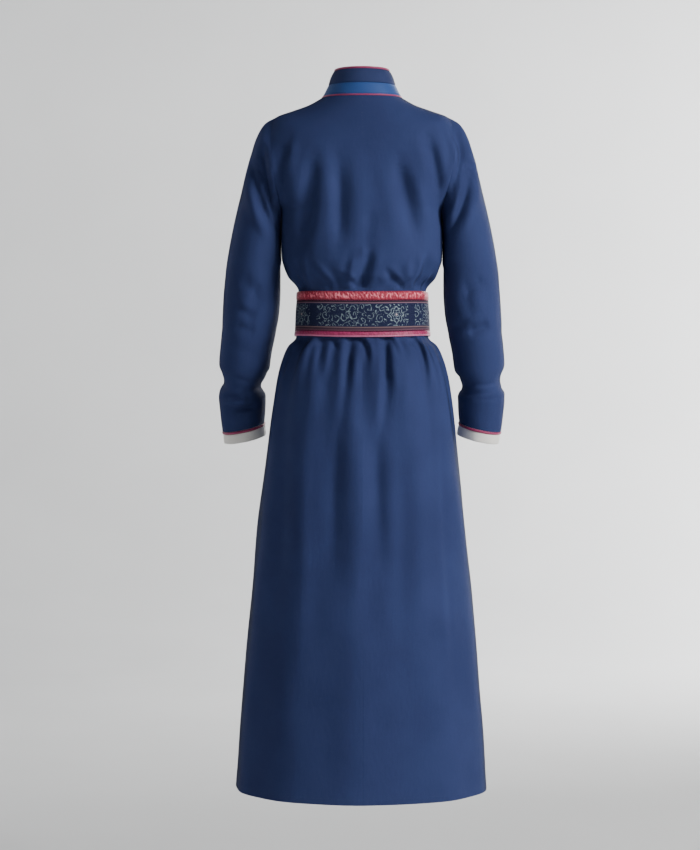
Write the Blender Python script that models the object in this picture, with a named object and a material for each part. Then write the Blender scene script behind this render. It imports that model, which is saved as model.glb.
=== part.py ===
"""Long wrap robe with a stand collar, set-in sleeves, banded cuffs and a wide belt.

Metres, +Z up. The front faces -Y and +X is the wearer's left. The origin is the
middle of the neck opening, level with the side neck points.
"""

import math

import bpy
import numpy as np

for old in list(bpy.data.objects):
    bpy.data.objects.remove(old, do_unlink=True)

# Driving sizes
CLOTH = 0.002  # wall of the robe cloth
SEAM_GAP = 0.0003  # between two pieces that are sewn together
WRAP_LIFT = CLOTH + SEAM_GAP  # the outer front lies this far out on the inner front
BELT_WALL = 0.0022
BELT_EASE = 0.0005  # between the belt and the cloth inside it
BELT_OVERLAP = 45.0  # degrees that the belt's outer end runs past its inner end
COLLAR_WALL = 0.0022
COLLAR_CORD = 0.0018  # radius of the piping at the collar
CORD_ROOM = 0.0009  # between the collar and its piping, more than a seam as the seam bends
CUFF_CORD = 0.0022  # radius of the piping at the cuffs
CUFF_DEPTH = 0.0185
KNOT = 0.0055  # radius of a knot button
TAB_LENGTH = 0.018
TAB_WIDTH = 0.006
TAB_WALL = 0.0016

# Columns run round the body: 0 back middle, 12 left side, 24 front middle, 36 right side
COLUMNS = 48
QUARTER = 12
ARM_EDGE = 11  # the column beside the side line, which is the edge of the armhole
TIP_ROW = 3  # shoulder tip, where the armhole starts
UNDERARM_ROW = 12
BELT_TOP_ROW = 17
BELT_LOW_ROW = 19
HEM_ROW = 27
BELT_TOP = -0.361  # level where the pockets over the belt start
BELT_FOOT = -0.443  # level where the gathers under the belt start

# Sections of the body from the neck to the hem
BODY_HEADS = (
    "half_width", "back", "front", "power", "z_back", "z_front", "z_side", "arm_back", "arm_front",
)
BODY = (
    (0.0755, 0.0640, 0.0700, 2.00, -0.0040, -0.0550, 0.0000, 82.5, 82.5),  # neck
    (0.1000, 0.0740, 0.0830, 2.05, -0.0260, -0.0690, -0.0135, 82.5, 82.5),
    (0.1290, 0.0830, 0.0930, 2.15, -0.0500, -0.0880, -0.0240, 82.5, 82.5),
    (0.1600, 0.0905, 0.1000, 2.30, -0.0740, -0.1100, -0.0360, 82.5, 82.5),  # shoulder tip
    (0.1740, 0.0945, 0.1045, 2.40, -0.0900, -0.1230, -0.0550, 71.0, 70.0),
    (0.1840, 0.0975, 0.1080, 2.40, -0.1060, -0.1360, -0.0740, 63.5, 61.5),
    (0.1900, 0.1000, 0.1105, 2.40, -0.1220, -0.1490, -0.0940, 59.0, 56.5),
    (0.1920, 0.1020, 0.1120, 2.40, -0.1380, -0.1610, -0.1140, 57.0, 54.5),
    (0.1890, 0.1035, 0.1130, 2.40, -0.1540, -0.1730, -0.1340, 57.0, 54.5),
    (0.1810, 0.1045, 0.1135, 2.40, -0.1700, -0.1840, -0.1540, 59.5, 57.0),
    (0.1700, 0.1050, 0.1140, 2.40, -0.1860, -0.1950, -0.1740, 64.0, 62.0),
    (0.1580, 0.1052, 0.1140, 2.40, -0.2010, -0.2060, -0.1940, 71.5, 70.5),
    (0.1485, 0.1055, 0.1135, 2.40, -0.2160, -0.2170, -0.2140, 82.5, 82.5),  # underarm
    (0.1488, 0.1065, 0.1135, 2.40, -0.2460, -0.2460, -0.2450, 82.5, 82.5),
    (0.1490, 0.1075, 0.1130, 2.35, -0.2770, -0.2760, -0.2760, 82.5, 82.5),
    (0.1465, 0.1080, 0.1120, 2.30, -0.3050, -0.3040, -0.3040, 82.5, 82.5),
    (0.1380, 0.1050, 0.1070, 2.25, -0.3340, -0.3310, -0.3310, 82.5, 82.5),
    (0.1186, 0.0923, 0.0895, 2.20, -0.3640, -0.3580, -0.3595, 82.5, 82.5),  # belt top
    (0.1208, 0.0938, 0.0912, 2.20, -0.4055, -0.3990, -0.4003, 82.5, 82.5),
    (0.1230, 0.0953, 0.0930, 2.20, -0.4470, -0.4400, -0.4410, 82.5, 82.5),  # belt foot
    (0.1400, 0.1080, 0.1060, 2.20, -0.4640, -0.4580, -0.4590, 82.5, 82.5),
    (0.1510, 0.1190, 0.1170, 2.20, -0.4860, -0.4820, -0.4820, 82.5, 82.5),
    (0.1610, 0.1280, 0.1270, 2.20, -0.5180, -0.5160, -0.5160, 82.5, 82.5),
    (0.1695, 0.1355, 0.1345, 2.15, -0.5720, -0.5710, -0.5710, 82.5, 82.5),
    (0.1780, 0.1425, 0.1415, 2.10, -0.6550, -0.6550, -0.6550, 82.5, 82.5),
    (0.1925, 0.1545, 0.1535, 2.10, -0.8100, -0.8100, -0.8100, 82.5, 82.5),
    (0.2130, 0.1705, 0.1695, 2.10, -1.0300, -1.0300, -1.0300, 82.5, 82.5),
    (0.2310, 0.1860, 0.1845, 2.10, -1.2760, -1.2760, -1.2760, 82.5, 82.5),  # hem
)

# Sections of a sleeve, from the armhole to the wrist
SLEEVE_HEADS = (
    "outer_x", "outer_z", "inner_x", "inner_z", "half_depth", "mid_y", "tilt",
)
SLEEVE = (
    (0.1600, -0.0360, 0.1480, -0.2140, 0.0600, 0.0020, 0.0),  # armhole
    (0.1800, -0.0470, 0.1502, -0.2330, 0.0610, 0.0010, 0.0),
    (0.1960, -0.0730, 0.1508, -0.2520, 0.0615, 0.0000, 0.0),
    (0.2070, -0.1080, 0.1512, -0.2710, 0.0615, -0.0010, 0.0),
    (0.2200, -0.1550, 0.1514, -0.2920, 0.0615, -0.0030, 0.0),
    (0.2350, -0.2160, 0.1514, -0.3200, 0.0610, -0.0060, 0.0),
    (0.2480, -0.2820, 0.1516, -0.3540, 0.0605, -0.0110, 2.0),
    (0.2570, -0.3420, 0.1540, -0.3920, 0.0590, -0.0180, 4.0),
    (0.2615, -0.4000, 0.1605, -0.4310, 0.0565, -0.0260, 6.0),
    (0.2650, -0.4500, 0.1690, -0.4700, 0.0535, -0.0350, 8.0),
    (0.2680, -0.4900, 0.1740, -0.5020, 0.0515, -0.0430, 9.0),
    (0.2610, -0.5180, 0.1880, -0.5300, 0.0460, -0.0480, 10.0),  # wrist wrinkle
    (0.2705, -0.5500, 0.1810, -0.5520, 0.0485, -0.0530, 10.0),
    (0.2670, -0.5850, 0.1820, -0.5780, 0.0460, -0.0580, 10.0),
    (0.2630, -0.6170, 0.1840, -0.6000, 0.0425, -0.0620, 10.0),  # sleeve end
)

# Collar, from the neck seam to the free edge
COLLAR_HEADS = ("half_width", "back", "front", "z_back", "z_front", "z_side")
COLLAR = (
    (0.0755, 0.0640, 0.0700, -0.0040, -0.0550, 0.0000),
    (0.0685, 0.0605, 0.0660, 0.0080, -0.0440, 0.0110),
    (0.0630, 0.0575, 0.0620, 0.0215, -0.0320, 0.0235),
    (0.0580, 0.0540, 0.0580, 0.0370, -0.0190, 0.0385),
    (0.0525, 0.0500, 0.0530, 0.0485, -0.0080, 0.0500),
)
COLLAR_SPLIT = 0.5  # where the lower tier meets the upper tier
COLLAR_OPENING = 1.6  # degrees from the front middle to each end of the collar

# Gathers under the belt: column at the belt, column where it ends, level of its end, width in
# columns, depth
GATHER_HEADS = ("column", "column_low", "level", "width", "depth")
GATHERS = (
    (7.0, 7.9, -0.720, 0.85, 0.0085),
    (4.9, 5.2, -0.620, 0.70, 0.0060),
    (3.0, 3.0, -0.950, 0.80, 0.0095),
    (1.5, 1.9, -0.640, 0.65, 0.0070),
    (0.1, -0.3, -0.800, 0.65, 0.0090),
    (-1.9, -2.2, -0.760, 0.75, 0.0095),
    (-3.9, -4.4, -0.600, 0.80, 0.0060),
    (-5.8, -6.6, -0.900, 0.85, 0.0095),
    (-8.2, -8.8, -0.640, 0.80, 0.0065),
    (9.2, 9.8, -0.640, 0.85, 0.0070),
    (11.4, 11.8, -0.800, 0.80, 0.0080),
    (13.6, 13.8, -0.620, 0.75, 0.0065),
    (15.7, 15.4, -0.880, 0.85, 0.0090),
    (17.8, 17.2, -0.640, 0.75, 0.0065),
    (19.9, 19.5, -0.740, 0.80, 0.0085),
    (22.2, 22.4, -0.640, 0.75, 0.0070),
    (24.3, 24.9, -0.920, 0.80, 0.0090),
    (26.5, 26.9, -0.640, 0.75, 0.0065),
    (28.6, 29.3, -0.760, 0.85, 0.0085),
    (30.8, 31.3, -0.620, 0.75, 0.0065),
    (33.0, 32.6, -0.860, 0.80, 0.0080),
    (37.6, 37.2, -0.780, 0.80, 0.0080),
)

# Long waves down the skirt: column at the hip, column at the hem, width in columns, height
WAVE_HEADS = ("column", "column_low", "width", "height")
WAVES = (
    (0.6, 0.5, 1.1, 0.0040),
    (-4.2, -5.4, 1.5, 0.0045),
    (4.4, 5.0, 1.5, 0.0035),
    (8.8, 9.3, 1.6, 0.0040),
    (13.0, 12.8, 1.6, 0.0040),
    (17.2, 16.6, 1.5, 0.0045),
    (21.2, 21.2, 1.4, 0.0040),
    (25.6, 26.4, 1.5, 0.0045),
    (30.2, 30.6, 1.5, 0.0040),
    (38.8, 38.6, 1.6, 0.0040),
)

# Pockets of slack cloth over the belt: column, how far up it reaches, width in columns, depth
POCKET_HEADS = ("column", "lean", "level", "width", "depth")
POCKETS = (
    (0.1, -1.0, -0.290, 0.80, 0.0065),
    (-2.7, -0.4, -0.315, 0.70, 0.0060),
    (2.5, 0.3, -0.305, 0.80, 0.0060),
    (5.2, 0.5, -0.312, 0.75, 0.0050),
    (-7.2, 0.3, -0.296, 0.85, 0.0070),
    (-4.9, -0.3, -0.318, 0.70, 0.0045),
    (8.6, -0.3, -0.300, 0.85, 0.0060),
    (12.6, 0.2, -0.310, 0.85, 0.0050),
    (15.8, 0.5, -0.300, 0.85, 0.0060),
    (18.6, 0.4, -0.312, 0.80, 0.0055),
    (21.3, 0.2, -0.292, 0.85, 0.0065),
    (24.2, -0.3, -0.308, 0.80, 0.0060),
    (27.0, -0.5, -0.296, 0.85, 0.0065),
    (29.9, -0.5, -0.312, 0.80, 0.0055),
    (33.0, -0.4, -0.302, 0.85, 0.0055),
    (38.4, -0.2, -0.306, 0.85, 0.0055),
)

# Creases on the upper body and the sleeves, by x and z as seen square on to the side they lie
# on; a negative depth is a ridge
CREASE_HEADS = ("side", "x0", "z0", "x1", "z1", "x2", "z2", "width", "depth")
BODY_CREASES = (
    (1, 0.134, -0.089, 0.147, -0.135, 0.150, -0.186, 0.010, 0.0045),
    (1, -0.112, -0.084, -0.134, -0.140, -0.140, -0.192, 0.011, 0.0050),
    (1, -0.067, -0.120, -0.078, -0.195, -0.101, -0.276, 0.013, 0.0040),
    (1, 0.084, -0.120, 0.094, -0.195, 0.102, -0.276, 0.013, 0.0040),
    (1, 0.047, -0.130, 0.043, -0.205, 0.040, -0.286, 0.012, 0.0028),
    (1, -0.012, -0.215, -0.012, -0.255, -0.003, -0.300, 0.012, 0.0030),
    (-1, 0.118, -0.110, 0.132, -0.150, 0.140, -0.200, 0.011, 0.0045),
    (-1, -0.120, -0.112, -0.134, -0.150, -0.140, -0.198, 0.011, 0.0040),
    (-1, 0.070, -0.150, 0.082, -0.215, 0.092, -0.285, 0.013, 0.0040),
    (-1, 0.020, -0.190, 0.026, -0.240, 0.030, -0.300, 0.013, 0.0035),
    (-1, -0.045, -0.180, -0.055, -0.235, -0.062, -0.295, 0.013, 0.0040),
)
SLEEVE_CREASES = (
    (1, 0.204, -0.112, 0.190, -0.160, 0.168, -0.215, 0.010, 0.0065),
    (1, 0.226, -0.330, 0.205, -0.352, 0.182, -0.362, 0.011, 0.0035),
    (1, 0.238, -0.415, 0.216, -0.428, 0.192, -0.432, 0.010, 0.0030),
    (-1, 0.200, -0.118, 0.186, -0.165, 0.168, -0.215, 0.010, 0.0060),
    (-1, 0.232, -0.318, 0.205, -0.345, 0.178, -0.352, 0.011, 0.0045),
    (-1, 0.240, -0.372, 0.214, -0.392, 0.188, -0.398, 0.010, 0.0040),
)

# Fastenings down the edge of the outer front: name, row and column of the edge point
FASTENINGS = (
    ("neck", 1, 25),
    ("chest", 6, 30),
)

NAVY = (0.030, 0.047, 0.125)
ROYAL = (0.025, 0.085, 0.330)
PINK = (0.420, 0.060, 0.150)
WHITE = (0.780, 0.770, 0.740)


def column_of(table, heads, name):
    """One named column of a table."""
    return np.array([row[heads.index(name)] for row in table], float)


def smooth(at, values, x):
    """Cubic curve through the values with no overshoot, read at x."""
    at = np.asarray(at, float)
    values = np.asarray(values, float)
    x = np.clip(np.asarray(x, float), at[0], at[-1])
    step = np.diff(at)
    slope = np.diff(values) / step
    flat = slope[:-1] * slope[1:] <= 0
    total = 3.0 * (step[:-1] + step[1:])
    first = (2.0 * step[1:] + step[:-1]) / np.where(flat, 1.0, slope[:-1])
    second = (step[1:] + 2.0 * step[:-1]) / np.where(flat, 1.0, slope[1:])
    inner = np.where(flat, 0.0, total / np.where(flat, 1.0, first + second))
    tangent = np.concatenate([[slope[0]], inner, [slope[-1]]])
    i = np.clip(np.searchsorted(at, x, side="right") - 1, 0, len(step) - 1)
    t = (x - at[i]) / step[i]
    h = step[i]
    low = (1 + 2 * t) * (1 - t) ** 2 * values[i] + t * (1 - t) ** 2 * h * tangent[i]
    high = t * t * (3 - 2 * t) * values[i + 1] + t * t * (t - 1) * h * tangent[i + 1]
    return low + high


def ease(a, b, x):
    """0 below a, 1 above b, with a soft change between."""
    t = np.clip((np.asarray(x, float) - a) / (b - a), 0, 1)
    return t * t * (3 - 2 * t)


def reader(table, heads):
    """A function that reads any column of the table at a real row number."""
    rows = np.arange(len(table))
    return lambda name, row: smooth(rows, column_of(table, heads, name), row)


body_at = reader(BODY, BODY_HEADS)
sleeve_at = reader(SLEEVE, SLEEVE_HEADS)


def section(half_width, back, front, power, z_back, z_front, z_side, phi):
    """Points of a closed section; phi is 0 at the back middle and 90 degrees at the left side."""
    s = np.sin(phi)
    c = np.cos(phi)
    root = 2.0 / power
    depth = np.where(c >= 0, back, front)
    centre = np.where(c >= 0, z_back, z_front)
    x = half_width * np.sign(s) * np.abs(s) ** root
    y = depth * np.sign(c) * np.abs(c) ** root
    z = centre + (z_side - centre) * s * s
    return np.stack(np.broadcast_arrays(x, y, z), axis=-1)


def column_angle(row, column):
    """Angle of a column, which draws in along the armhole rows."""
    turn = (np.asarray(column, float) + QUARTER) % COLUMNS - QUARTER
    on_back = np.abs(turn) <= QUARTER
    from_middle = np.where(on_back, turn, 2 * QUARTER - turn)
    edge = np.where(on_back, body_at("arm_back", row), body_at("arm_front", row))
    spread = np.abs(from_middle) / ARM_EDGE
    angle = np.where(spread <= 1, spread * edge, edge + (spread - 1) * ARM_EDGE * (90 - edge))
    angle = np.sign(from_middle) * angle
    return np.radians(np.where(on_back, angle, 180 - angle))


def body_base(row, column):
    """The robe's body without folds."""
    row = np.asarray(row, float)
    values = [body_at(name, row) for name in BODY_HEADS[:7]]
    return section(*values, column_angle(row, column))


def across(column, centre):
    """How many columns lie between the column and the centre, by the shorter way."""
    return (column - centre + COLUMNS / 2) % COLUMNS - COLUMNS / 2


def crease_depth(table, points, facing, mirror=1):
    """Depth of the creases of a table at each point; facing is the y of the outward normal."""
    depth = np.zeros(len(points))
    plane = points[:, [0, 2]] * np.array([mirror, 1.0])
    for side, x0, z0, x1, z1, x2, z2, width, deep in table:
        knots = np.array([[x0, z0], [x1, z1], [x2, z2]])
        t = np.linspace(0, 1, 25)[:, None]
        path = (1 - t) ** 2 * knots[0] + 2 * t * (1 - t) * (2 * knots[1] - (knots[0] + knots[2]) / 2)
        path = path + t**2 * knots[2]
        path = path[:, :2]
        gap = np.linalg.norm(plane[:, None, :] - path[None], axis=2)
        nearest = gap.argmin(axis=1)
        along = nearest / 24.0
        body = ease(0, 0.25, along) * ease(0, 0.3, 1 - along)
        body = np.maximum(body, 0.15)
        seen = ease(0.05, 0.4, facing * side)
        depth += deep * body * seen * np.exp(-((gap[np.arange(len(gap)), nearest] / width) ** 2))
    return depth


def gather_depth(column, z):
    """How far the gathers under the belt and the pockets over it draw the cloth in."""
    depth = np.zeros(len(column))
    foot = BELT_FOOT
    top = BELT_TOP
    for c0, c1, level, width, deep in GATHERS:
        t = np.clip((foot - z) / (foot - level), 0, 1)
        centre = c0 + (c1 - c0) * t
        strength = ease(-0.6, 1.0, (foot - z) / 0.022) * (1 - ease(0.1, 1, t))
        strength = np.where(z > foot + 0.012, 0, strength)
        spread = width * (1 + 0.5 * t)
        depth += deep * strength * np.exp(-((across(column, centre) / spread) ** 2))
    for c0, lean, level, width, deep in POCKETS:
        t = np.clip((z - top) / (level - top), 0, 1)
        centre = c0 + lean * t
        strength = ease(-0.6, 1.0, (z - top) / 0.016) * (1 - ease(0.15, 1, t))
        strength = np.where(z < top - 0.012, 0, strength)
        depth += deep * strength * np.exp(-((across(column, centre) / width) ** 2))
    return depth


def wave_height(column, z):
    """How far the long waves of the skirt stand out."""
    height = np.zeros(len(column))
    t = np.clip((-0.56 - z) / 0.70, 0, 1)
    grow = ease(0, 0.35, t)
    for c0, c1, width, high in WAVES:
        centre = c0 + (c1 - c0) * t
        height += high * grow * np.exp(-((across(column, centre) / width) ** 2))
    return height


class Surface:
    """Points and faces of the whole cloth before it is cut into pieces."""

    def __init__(self):
        self.points = []
        self.facts = []
        self.faces = []
        self.labels = []

    def add(self, point, fact):
        self.points.append(point)
        self.facts.append(fact)
        return len(self.points) - 1

    def face(self, label, *corners):
        self.faces.append(corners)
        self.labels.append(label)


def normals_of(points, faces):
    """Normal at each point, from the faces round it."""
    total = np.zeros_like(points)
    for face in faces:
        p = points[list(face)]
        area = np.zeros(3)
        for i in range(1, len(face) - 1):
            area += np.cross(p[i] - p[0], p[i + 1] - p[0])
        for corner in face:
            total[corner] += area
    length = np.linalg.norm(total, axis=1, keepdims=True)
    return total / np.maximum(length, 1e-12)


def label_of(row, column):
    """The piece that holds the body face between this row and column and the next ones."""
    if column < QUARTER:
        return "back_left"
    if column >= 3 * QUARTER:
        return "back_right"
    return "front"


def quad(surface, label, row, column, corners):
    """Two triangles; the diagonal follows the wrap edge that lies on that half of the body."""
    a, b, c, d = corners
    if column < 2 * QUARTER:
        surface.face((label, row, column), a, b, d)
        surface.face((label, row, column), b, c, d)
    else:
        surface.face((label, row, column), a, b, c)
        surface.face((label, row, column), a, c, d)


def build_surface():
    """The body's points by row and half column, and its faces with their pieces' names."""
    surface = Surface()
    ids = {}
    keys = []
    for row in range(HEM_ROW + 1):
        for half in range(2 * COLUMNS):
            if row <= BELT_LOW_ROW and half % 2:
                continue
            column = half / 2
            at_side = column in (QUARTER, 3 * QUARTER)
            if TIP_ROW < row < UNDERARM_ROW and at_side:
                continue
            keys.append((row, half))
    rows = np.array([k[0] for k in keys], float)
    columns = np.array([k[1] / 2 for k in keys])
    base = body_base(rows, columns)
    for key, point in zip(keys, base):
        ids[key] = surface.add(point, key)
    full = 2 * COLUMNS
    for row in range(HEM_ROW):
        for column in range(COLUMNS):
            a = 2 * column
            b = (a + 2) % full
            label = label_of(row, column)
            beside = column in (QUARTER - 1, QUARTER, 3 * QUARTER - 1, 3 * QUARTER)
            if TIP_ROW <= row < UNDERARM_ROW and beside:
                continue
            if row < BELT_LOW_ROW:
                corners = [ids[row, a], ids[row, b], ids[row + 1, b], ids[row + 1, a]]
                quad(surface, label, row, column, corners)
                continue
            m = a + 1
            if row == BELT_LOW_ROW:
                surface.face((label, row, column), ids[row, a], ids[row + 1, m], ids[row + 1, a])
                surface.face((label, row, column), ids[row, a], ids[row, b], ids[row + 1, m])
                surface.face((label, row, column), ids[row, b], ids[row + 1, b], ids[row + 1, m])
                continue
            corners = [ids[row, a], ids[row, m], ids[row + 1, m], ids[row + 1, a]]
            quad(surface, label, row, column, corners)
            corners = [ids[row, m], ids[row, b], ids[row + 1, b], ids[row + 1, m]]
            quad(surface, label, row, column, corners)
    return surface, ids, rows, columns


def armhole(ids, left):
    """The armhole's points: tip, down the back, underarm, up the front."""
    side = QUARTER if left else 3 * QUARTER
    step = -1 if left else 1
    back = (side + step) * 2
    front = (side - step) * 2
    loop = [ids[TIP_ROW, side * 2]]
    loop += [ids[row, back] for row in range(TIP_ROW, UNDERARM_ROW + 1)]
    loop += [ids[UNDERARM_ROW, side * 2]]
    loop += [ids[row, front] for row in range(UNDERARM_ROW, TIP_ROW - 1, -1)]
    return loop


def sleeve_ring(row, alpha, mirror):
    """Points round the sleeve at a section; alpha is 0 at the outer line and 90 at the back."""
    outer = np.array([sleeve_at("outer_x", row), sleeve_at("outer_z", row)])
    inner = np.array([sleeve_at("inner_x", row), sleeve_at("inner_z", row)])
    middle = (outer + inner) / 2
    reach = (outer - inner) / 2
    depth = sleeve_at("half_depth", row)
    tilt = math.radians(float(sleeve_at("tilt", row)))
    across_y = depth * np.sin(alpha)
    x = middle[0] + reach[0] * np.cos(alpha)
    y = sleeve_at("mid_y", row) + across_y * math.cos(tilt)
    z = middle[1] + reach[1] * np.cos(alpha) - across_y * math.sin(tilt)
    return np.stack([x * mirror, y, z], axis=-1)


def loop_angles(points):
    """Angle of each point of an armhole, by its share of the way down the back or the front."""
    count = len(points)
    low = count // 2
    step = np.linalg.norm(np.roll(points, -1, axis=0) - points, axis=1)
    along = np.concatenate([[0], np.cumsum(step)])
    angle = np.empty(count)
    angle[: low + 1] = math.pi * along[: low + 1] / along[low]
    angle[low:] = math.pi + math.pi * (along[low:count] - along[low]) / (along[count] - along[low])
    return angle


def add_sleeve(surface, ids, left, points):
    """The sleeve's faces, from the armhole's own points to the wrist."""
    mirror = 1 if left else -1
    label = "sleeve_left" if left else "sleeve_right"
    loop = armhole(ids, left)
    held = points[loop]
    angle = loop_angles(held)
    first = sleeve_ring(0.0, angle, mirror)
    rings = [loop]
    last = len(SLEEVE) - 1
    for row in range(1, last + 1):
        ring = sleeve_ring(float(row), angle, mirror)
        ring = ring + (held - first) * (1 - ease(0, 3.2, row))
        rings.append([surface.add(p, (label, row)) for p in ring])
    count = len(loop)
    for row in range(last):
        for k in range(count):
            n = (k + 1) % count
            corners = [rings[row][k], rings[row + 1][k], rings[row + 1][n], rings[row][n]]
            if not left:
                corners.reverse()
            surface.face((label, row, k), *corners)
    return rings, angle


def fold_body(surface, rows, columns):
    """Moves the body's points along their normals by the folds."""
    points = np.array(surface.points)
    normals = normals_of(points, surface.faces)
    depth = crease_depth(BODY_CREASES, points, normals[:, 1])
    depth = depth * np.where(rows <= BELT_TOP_ROW - 1, 1.0, 0.0)
    depth = depth * ease(0.5, 2.5, rows)
    near_side = np.minimum(np.abs(across(columns, QUARTER)), np.abs(across(columns, 3 * QUARTER)))
    open_rows = (rows >= TIP_ROW) & (rows <= UNDERARM_ROW + 2)
    depth = np.where(open_rows, depth * ease(0.5, 3.0, near_side), depth)
    depth = depth + gather_depth(columns, points[:, 2])
    depth = depth - wave_height(columns, points[:, 2])
    return points - normals * depth[:, None]


def fold_sleeve(points, normals, rings, mirror):
    """Moves the sleeve's points along their normals by its creases."""
    moved = points.copy()
    for row in range(2, len(rings)):
        ring = rings[row]
        inner = ease(0.0, 0.5, 1 + normals[ring, 0] * mirror)
        depth = crease_depth(SLEEVE_CREASES, points[ring], normals[ring, 1], mirror) * inner
        moved[ring] = points[ring] - normals[ring] * depth[:, None]
    return moved


def material(name, colour, roughness, metallic=0.0):
    """A Principled material."""
    made = bpy.data.materials.new(name)
    made.use_nodes = True
    shader = made.node_tree.nodes["Principled BSDF"]
    shader.inputs["Base Color"].default_value = (*colour, 1.0)
    shader.inputs["Roughness"].default_value = roughness
    shader.inputs["Metallic"].default_value = metallic
    made.diffuse_color = (*colour, 1.0)
    return made


def mesh_object(name, points, faces, colour, roughness):
    """An object of its own with its own material."""
    mesh = bpy.data.meshes.new(name)
    mesh.from_pydata([tuple(p) for p in points], [], [tuple(f) for f in faces])
    mesh.validate()
    mesh.update()
    made = bpy.data.objects.new(name, mesh)
    bpy.context.scene.collection.objects.link(made)
    mesh.materials.append(material(name + "_material", colour, roughness))
    mesh.shade_smooth()
    mesh.set_sharp_from_angle(angle=math.radians(50))
    return made


def boundary_of(faces):
    """Directed edges that only one face uses."""
    seen = {}
    for face in faces:
        for i, a in enumerate(face):
            b = face[(i + 1) % len(face)]
            seen[a, b] = True
    return [edge for edge in seen if (edge[1], edge[0]) not in seen]


def inset(points, normals, faces, amount):
    """Draws the free edge of a sheet in by the amount, along the sheet."""
    moved = points.copy()
    before = {}
    after = {}
    for a, b in boundary_of(faces):
        after[a] = b
        before[b] = a
    for v in after:
        ways = []
        for a, b in ((before[v], v), (v, after[v])):
            way = np.cross(normals[v], points[b] - points[a])
            ways.append(way / max(np.linalg.norm(way), 1e-12))
        share = max(1 + float(ways[0] @ ways[1]), 0.35)
        moved[v] = points[v] + amount * (ways[0] + ways[1]) / share
    return moved


def sheet_solid(name, points, normals, faces, wall, colour, roughness, edge=SEAM_GAP / 2):
    """A closed wall under the faces: their points outside, the same points moved in inside."""
    used = sorted({v for face in faces for v in face})
    where = {v: i for i, v in enumerate(used)}
    local = [tuple(where[v] for v in face) for face in faces]
    top = inset(points[used], normals[used], local, edge)
    low = top - normals[used] * wall
    count = len(used)
    shell = list(local)
    shell += [tuple(v + count for v in reversed(face)) for face in local]
    for a, b in boundary_of(local):
        shell.append((b, a, a + count, b + count))
    return mesh_object(name, np.concatenate([top, low]), shell, colour, roughness)


def tube_solid(name, line, radius, sides, colour, roughness, closed, up=None):
    """A round cord along a line of points."""
    line = np.asarray(line, float)
    count = len(line)
    if closed:
        ahead = np.roll(line, -1, axis=0) - np.roll(line, 1, axis=0)
    else:
        ahead = np.gradient(line, axis=0)
    ahead = ahead / np.linalg.norm(ahead, axis=1, keepdims=True)
    reference = np.array([0.0, 0.0, 1.0]) if up is None else np.asarray(up, float)
    side = np.cross(ahead, reference)
    side = side / np.linalg.norm(side, axis=1, keepdims=True)
    other = np.cross(side, ahead)
    points = []
    for i in range(count):
        for k in range(sides):
            a = 2 * math.pi * k / sides
            points.append(line[i] + radius * (math.cos(a) * side[i] + math.sin(a) * other[i]))
    faces = []
    for i in range(count if closed else count - 1):
        j = (i + 1) % count
        for k in range(sides):
            m = (k + 1) % sides
            faces.append((i * sides + k, j * sides + k, j * sides + m, i * sides + m))
    if not closed:
        faces.append(tuple(range(sides)))
        faces.append(tuple(reversed(range((count - 1) * sides, count * sides))))
    return mesh_object(name, points, faces, colour, roughness)


def strip_solid(name, outer_top, outer_low, inner_top, inner_low, colour, roughness):
    """A strip with square edges between four lines of points of the same length."""
    count = len(outer_top)
    points = np.concatenate([outer_top, outer_low, inner_low, inner_top])
    faces = []
    for i in range(count - 1):
        for k in range(4):
            m = (k + 1) % 4
            faces.append((k * count + i, k * count + i + 1, m * count + i + 1, m * count + i))
    faces.append((0, count, 2 * count, 3 * count))
    faces.append((count - 1, 4 * count - 1, 3 * count - 1, 2 * count - 1))
    return mesh_object(name, points, faces, colour, roughness)


# Body surface with its folds, then the sleeves on the armholes' own points
surface, ids, body_rows, body_columns = build_surface()
folded = fold_body(surface, body_rows, body_columns)
surface.points = [p for p in folded]
body_count = len(surface.points)
left_rings, left_angle = add_sleeve(surface, ids, True, folded)
right_rings, right_angle = add_sleeve(surface, ids, False, folded)
points = np.array(surface.points)
normals = normals_of(points, surface.faces)
points = fold_sleeve(points, normals, left_rings, 1)
points = fold_sleeve(points, normals, right_rings, -1)
shared = normals_of(points, surface.faces)


def piece_faces(keep):
    """The faces of a piece, picked by name, row and column."""
    return [f for f, label in zip(surface.faces, surface.labels) if keep(*label)]


def piece_normals(faces):
    """Normals for a piece: shared along flat seams, its own where a seam lies in a deep fold."""
    own = normals_of(points, faces)
    meet = (own * shared).sum(axis=1, keepdims=True)
    weight = ease(0.80, 0.97, meet)
    mixed = own * (1 - weight) + shared * weight
    return mixed / np.maximum(np.linalg.norm(mixed, axis=1, keepdims=True), 1e-12)


# Outer front: from the left side to two columns short of the right side, under a slanted edge
FLAP_COLUMN = 3 * QUARTER - 2
LIFT_FROM = 14
LIFT_TO = 20
INNER_EDGE = 22


def in_front_outer(label, row, column):
    if label != "front":
        return False
    return column < min(2 * QUARTER + row, FLAP_COLUMN)


def in_front_inner(label, row, column):
    if label != "front":
        return False
    return column >= max(2 * QUARTER - row, INNER_EDGE)


def slant_faces(upper):
    """The half faces along the slanted edges: the outer front's at its top, or the inner front's."""
    made = []
    for row in range(UNDERARM_ROW - 2):
        if upper:
            c = 2 * QUARTER + row
            if c >= FLAP_COLUMN:
                continue
            made.append((ids[row, 2 * c], ids[row + 1, 2 * c + 2], ids[row + 1, 2 * c]))
        else:
            c = 2 * QUARTER - row - 1
            if c < INNER_EDGE:
                continue
            made.append((ids[row, 2 * c + 2], ids[row + 1, 2 * c + 2], ids[row + 1, 2 * c]))
    return made


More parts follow.
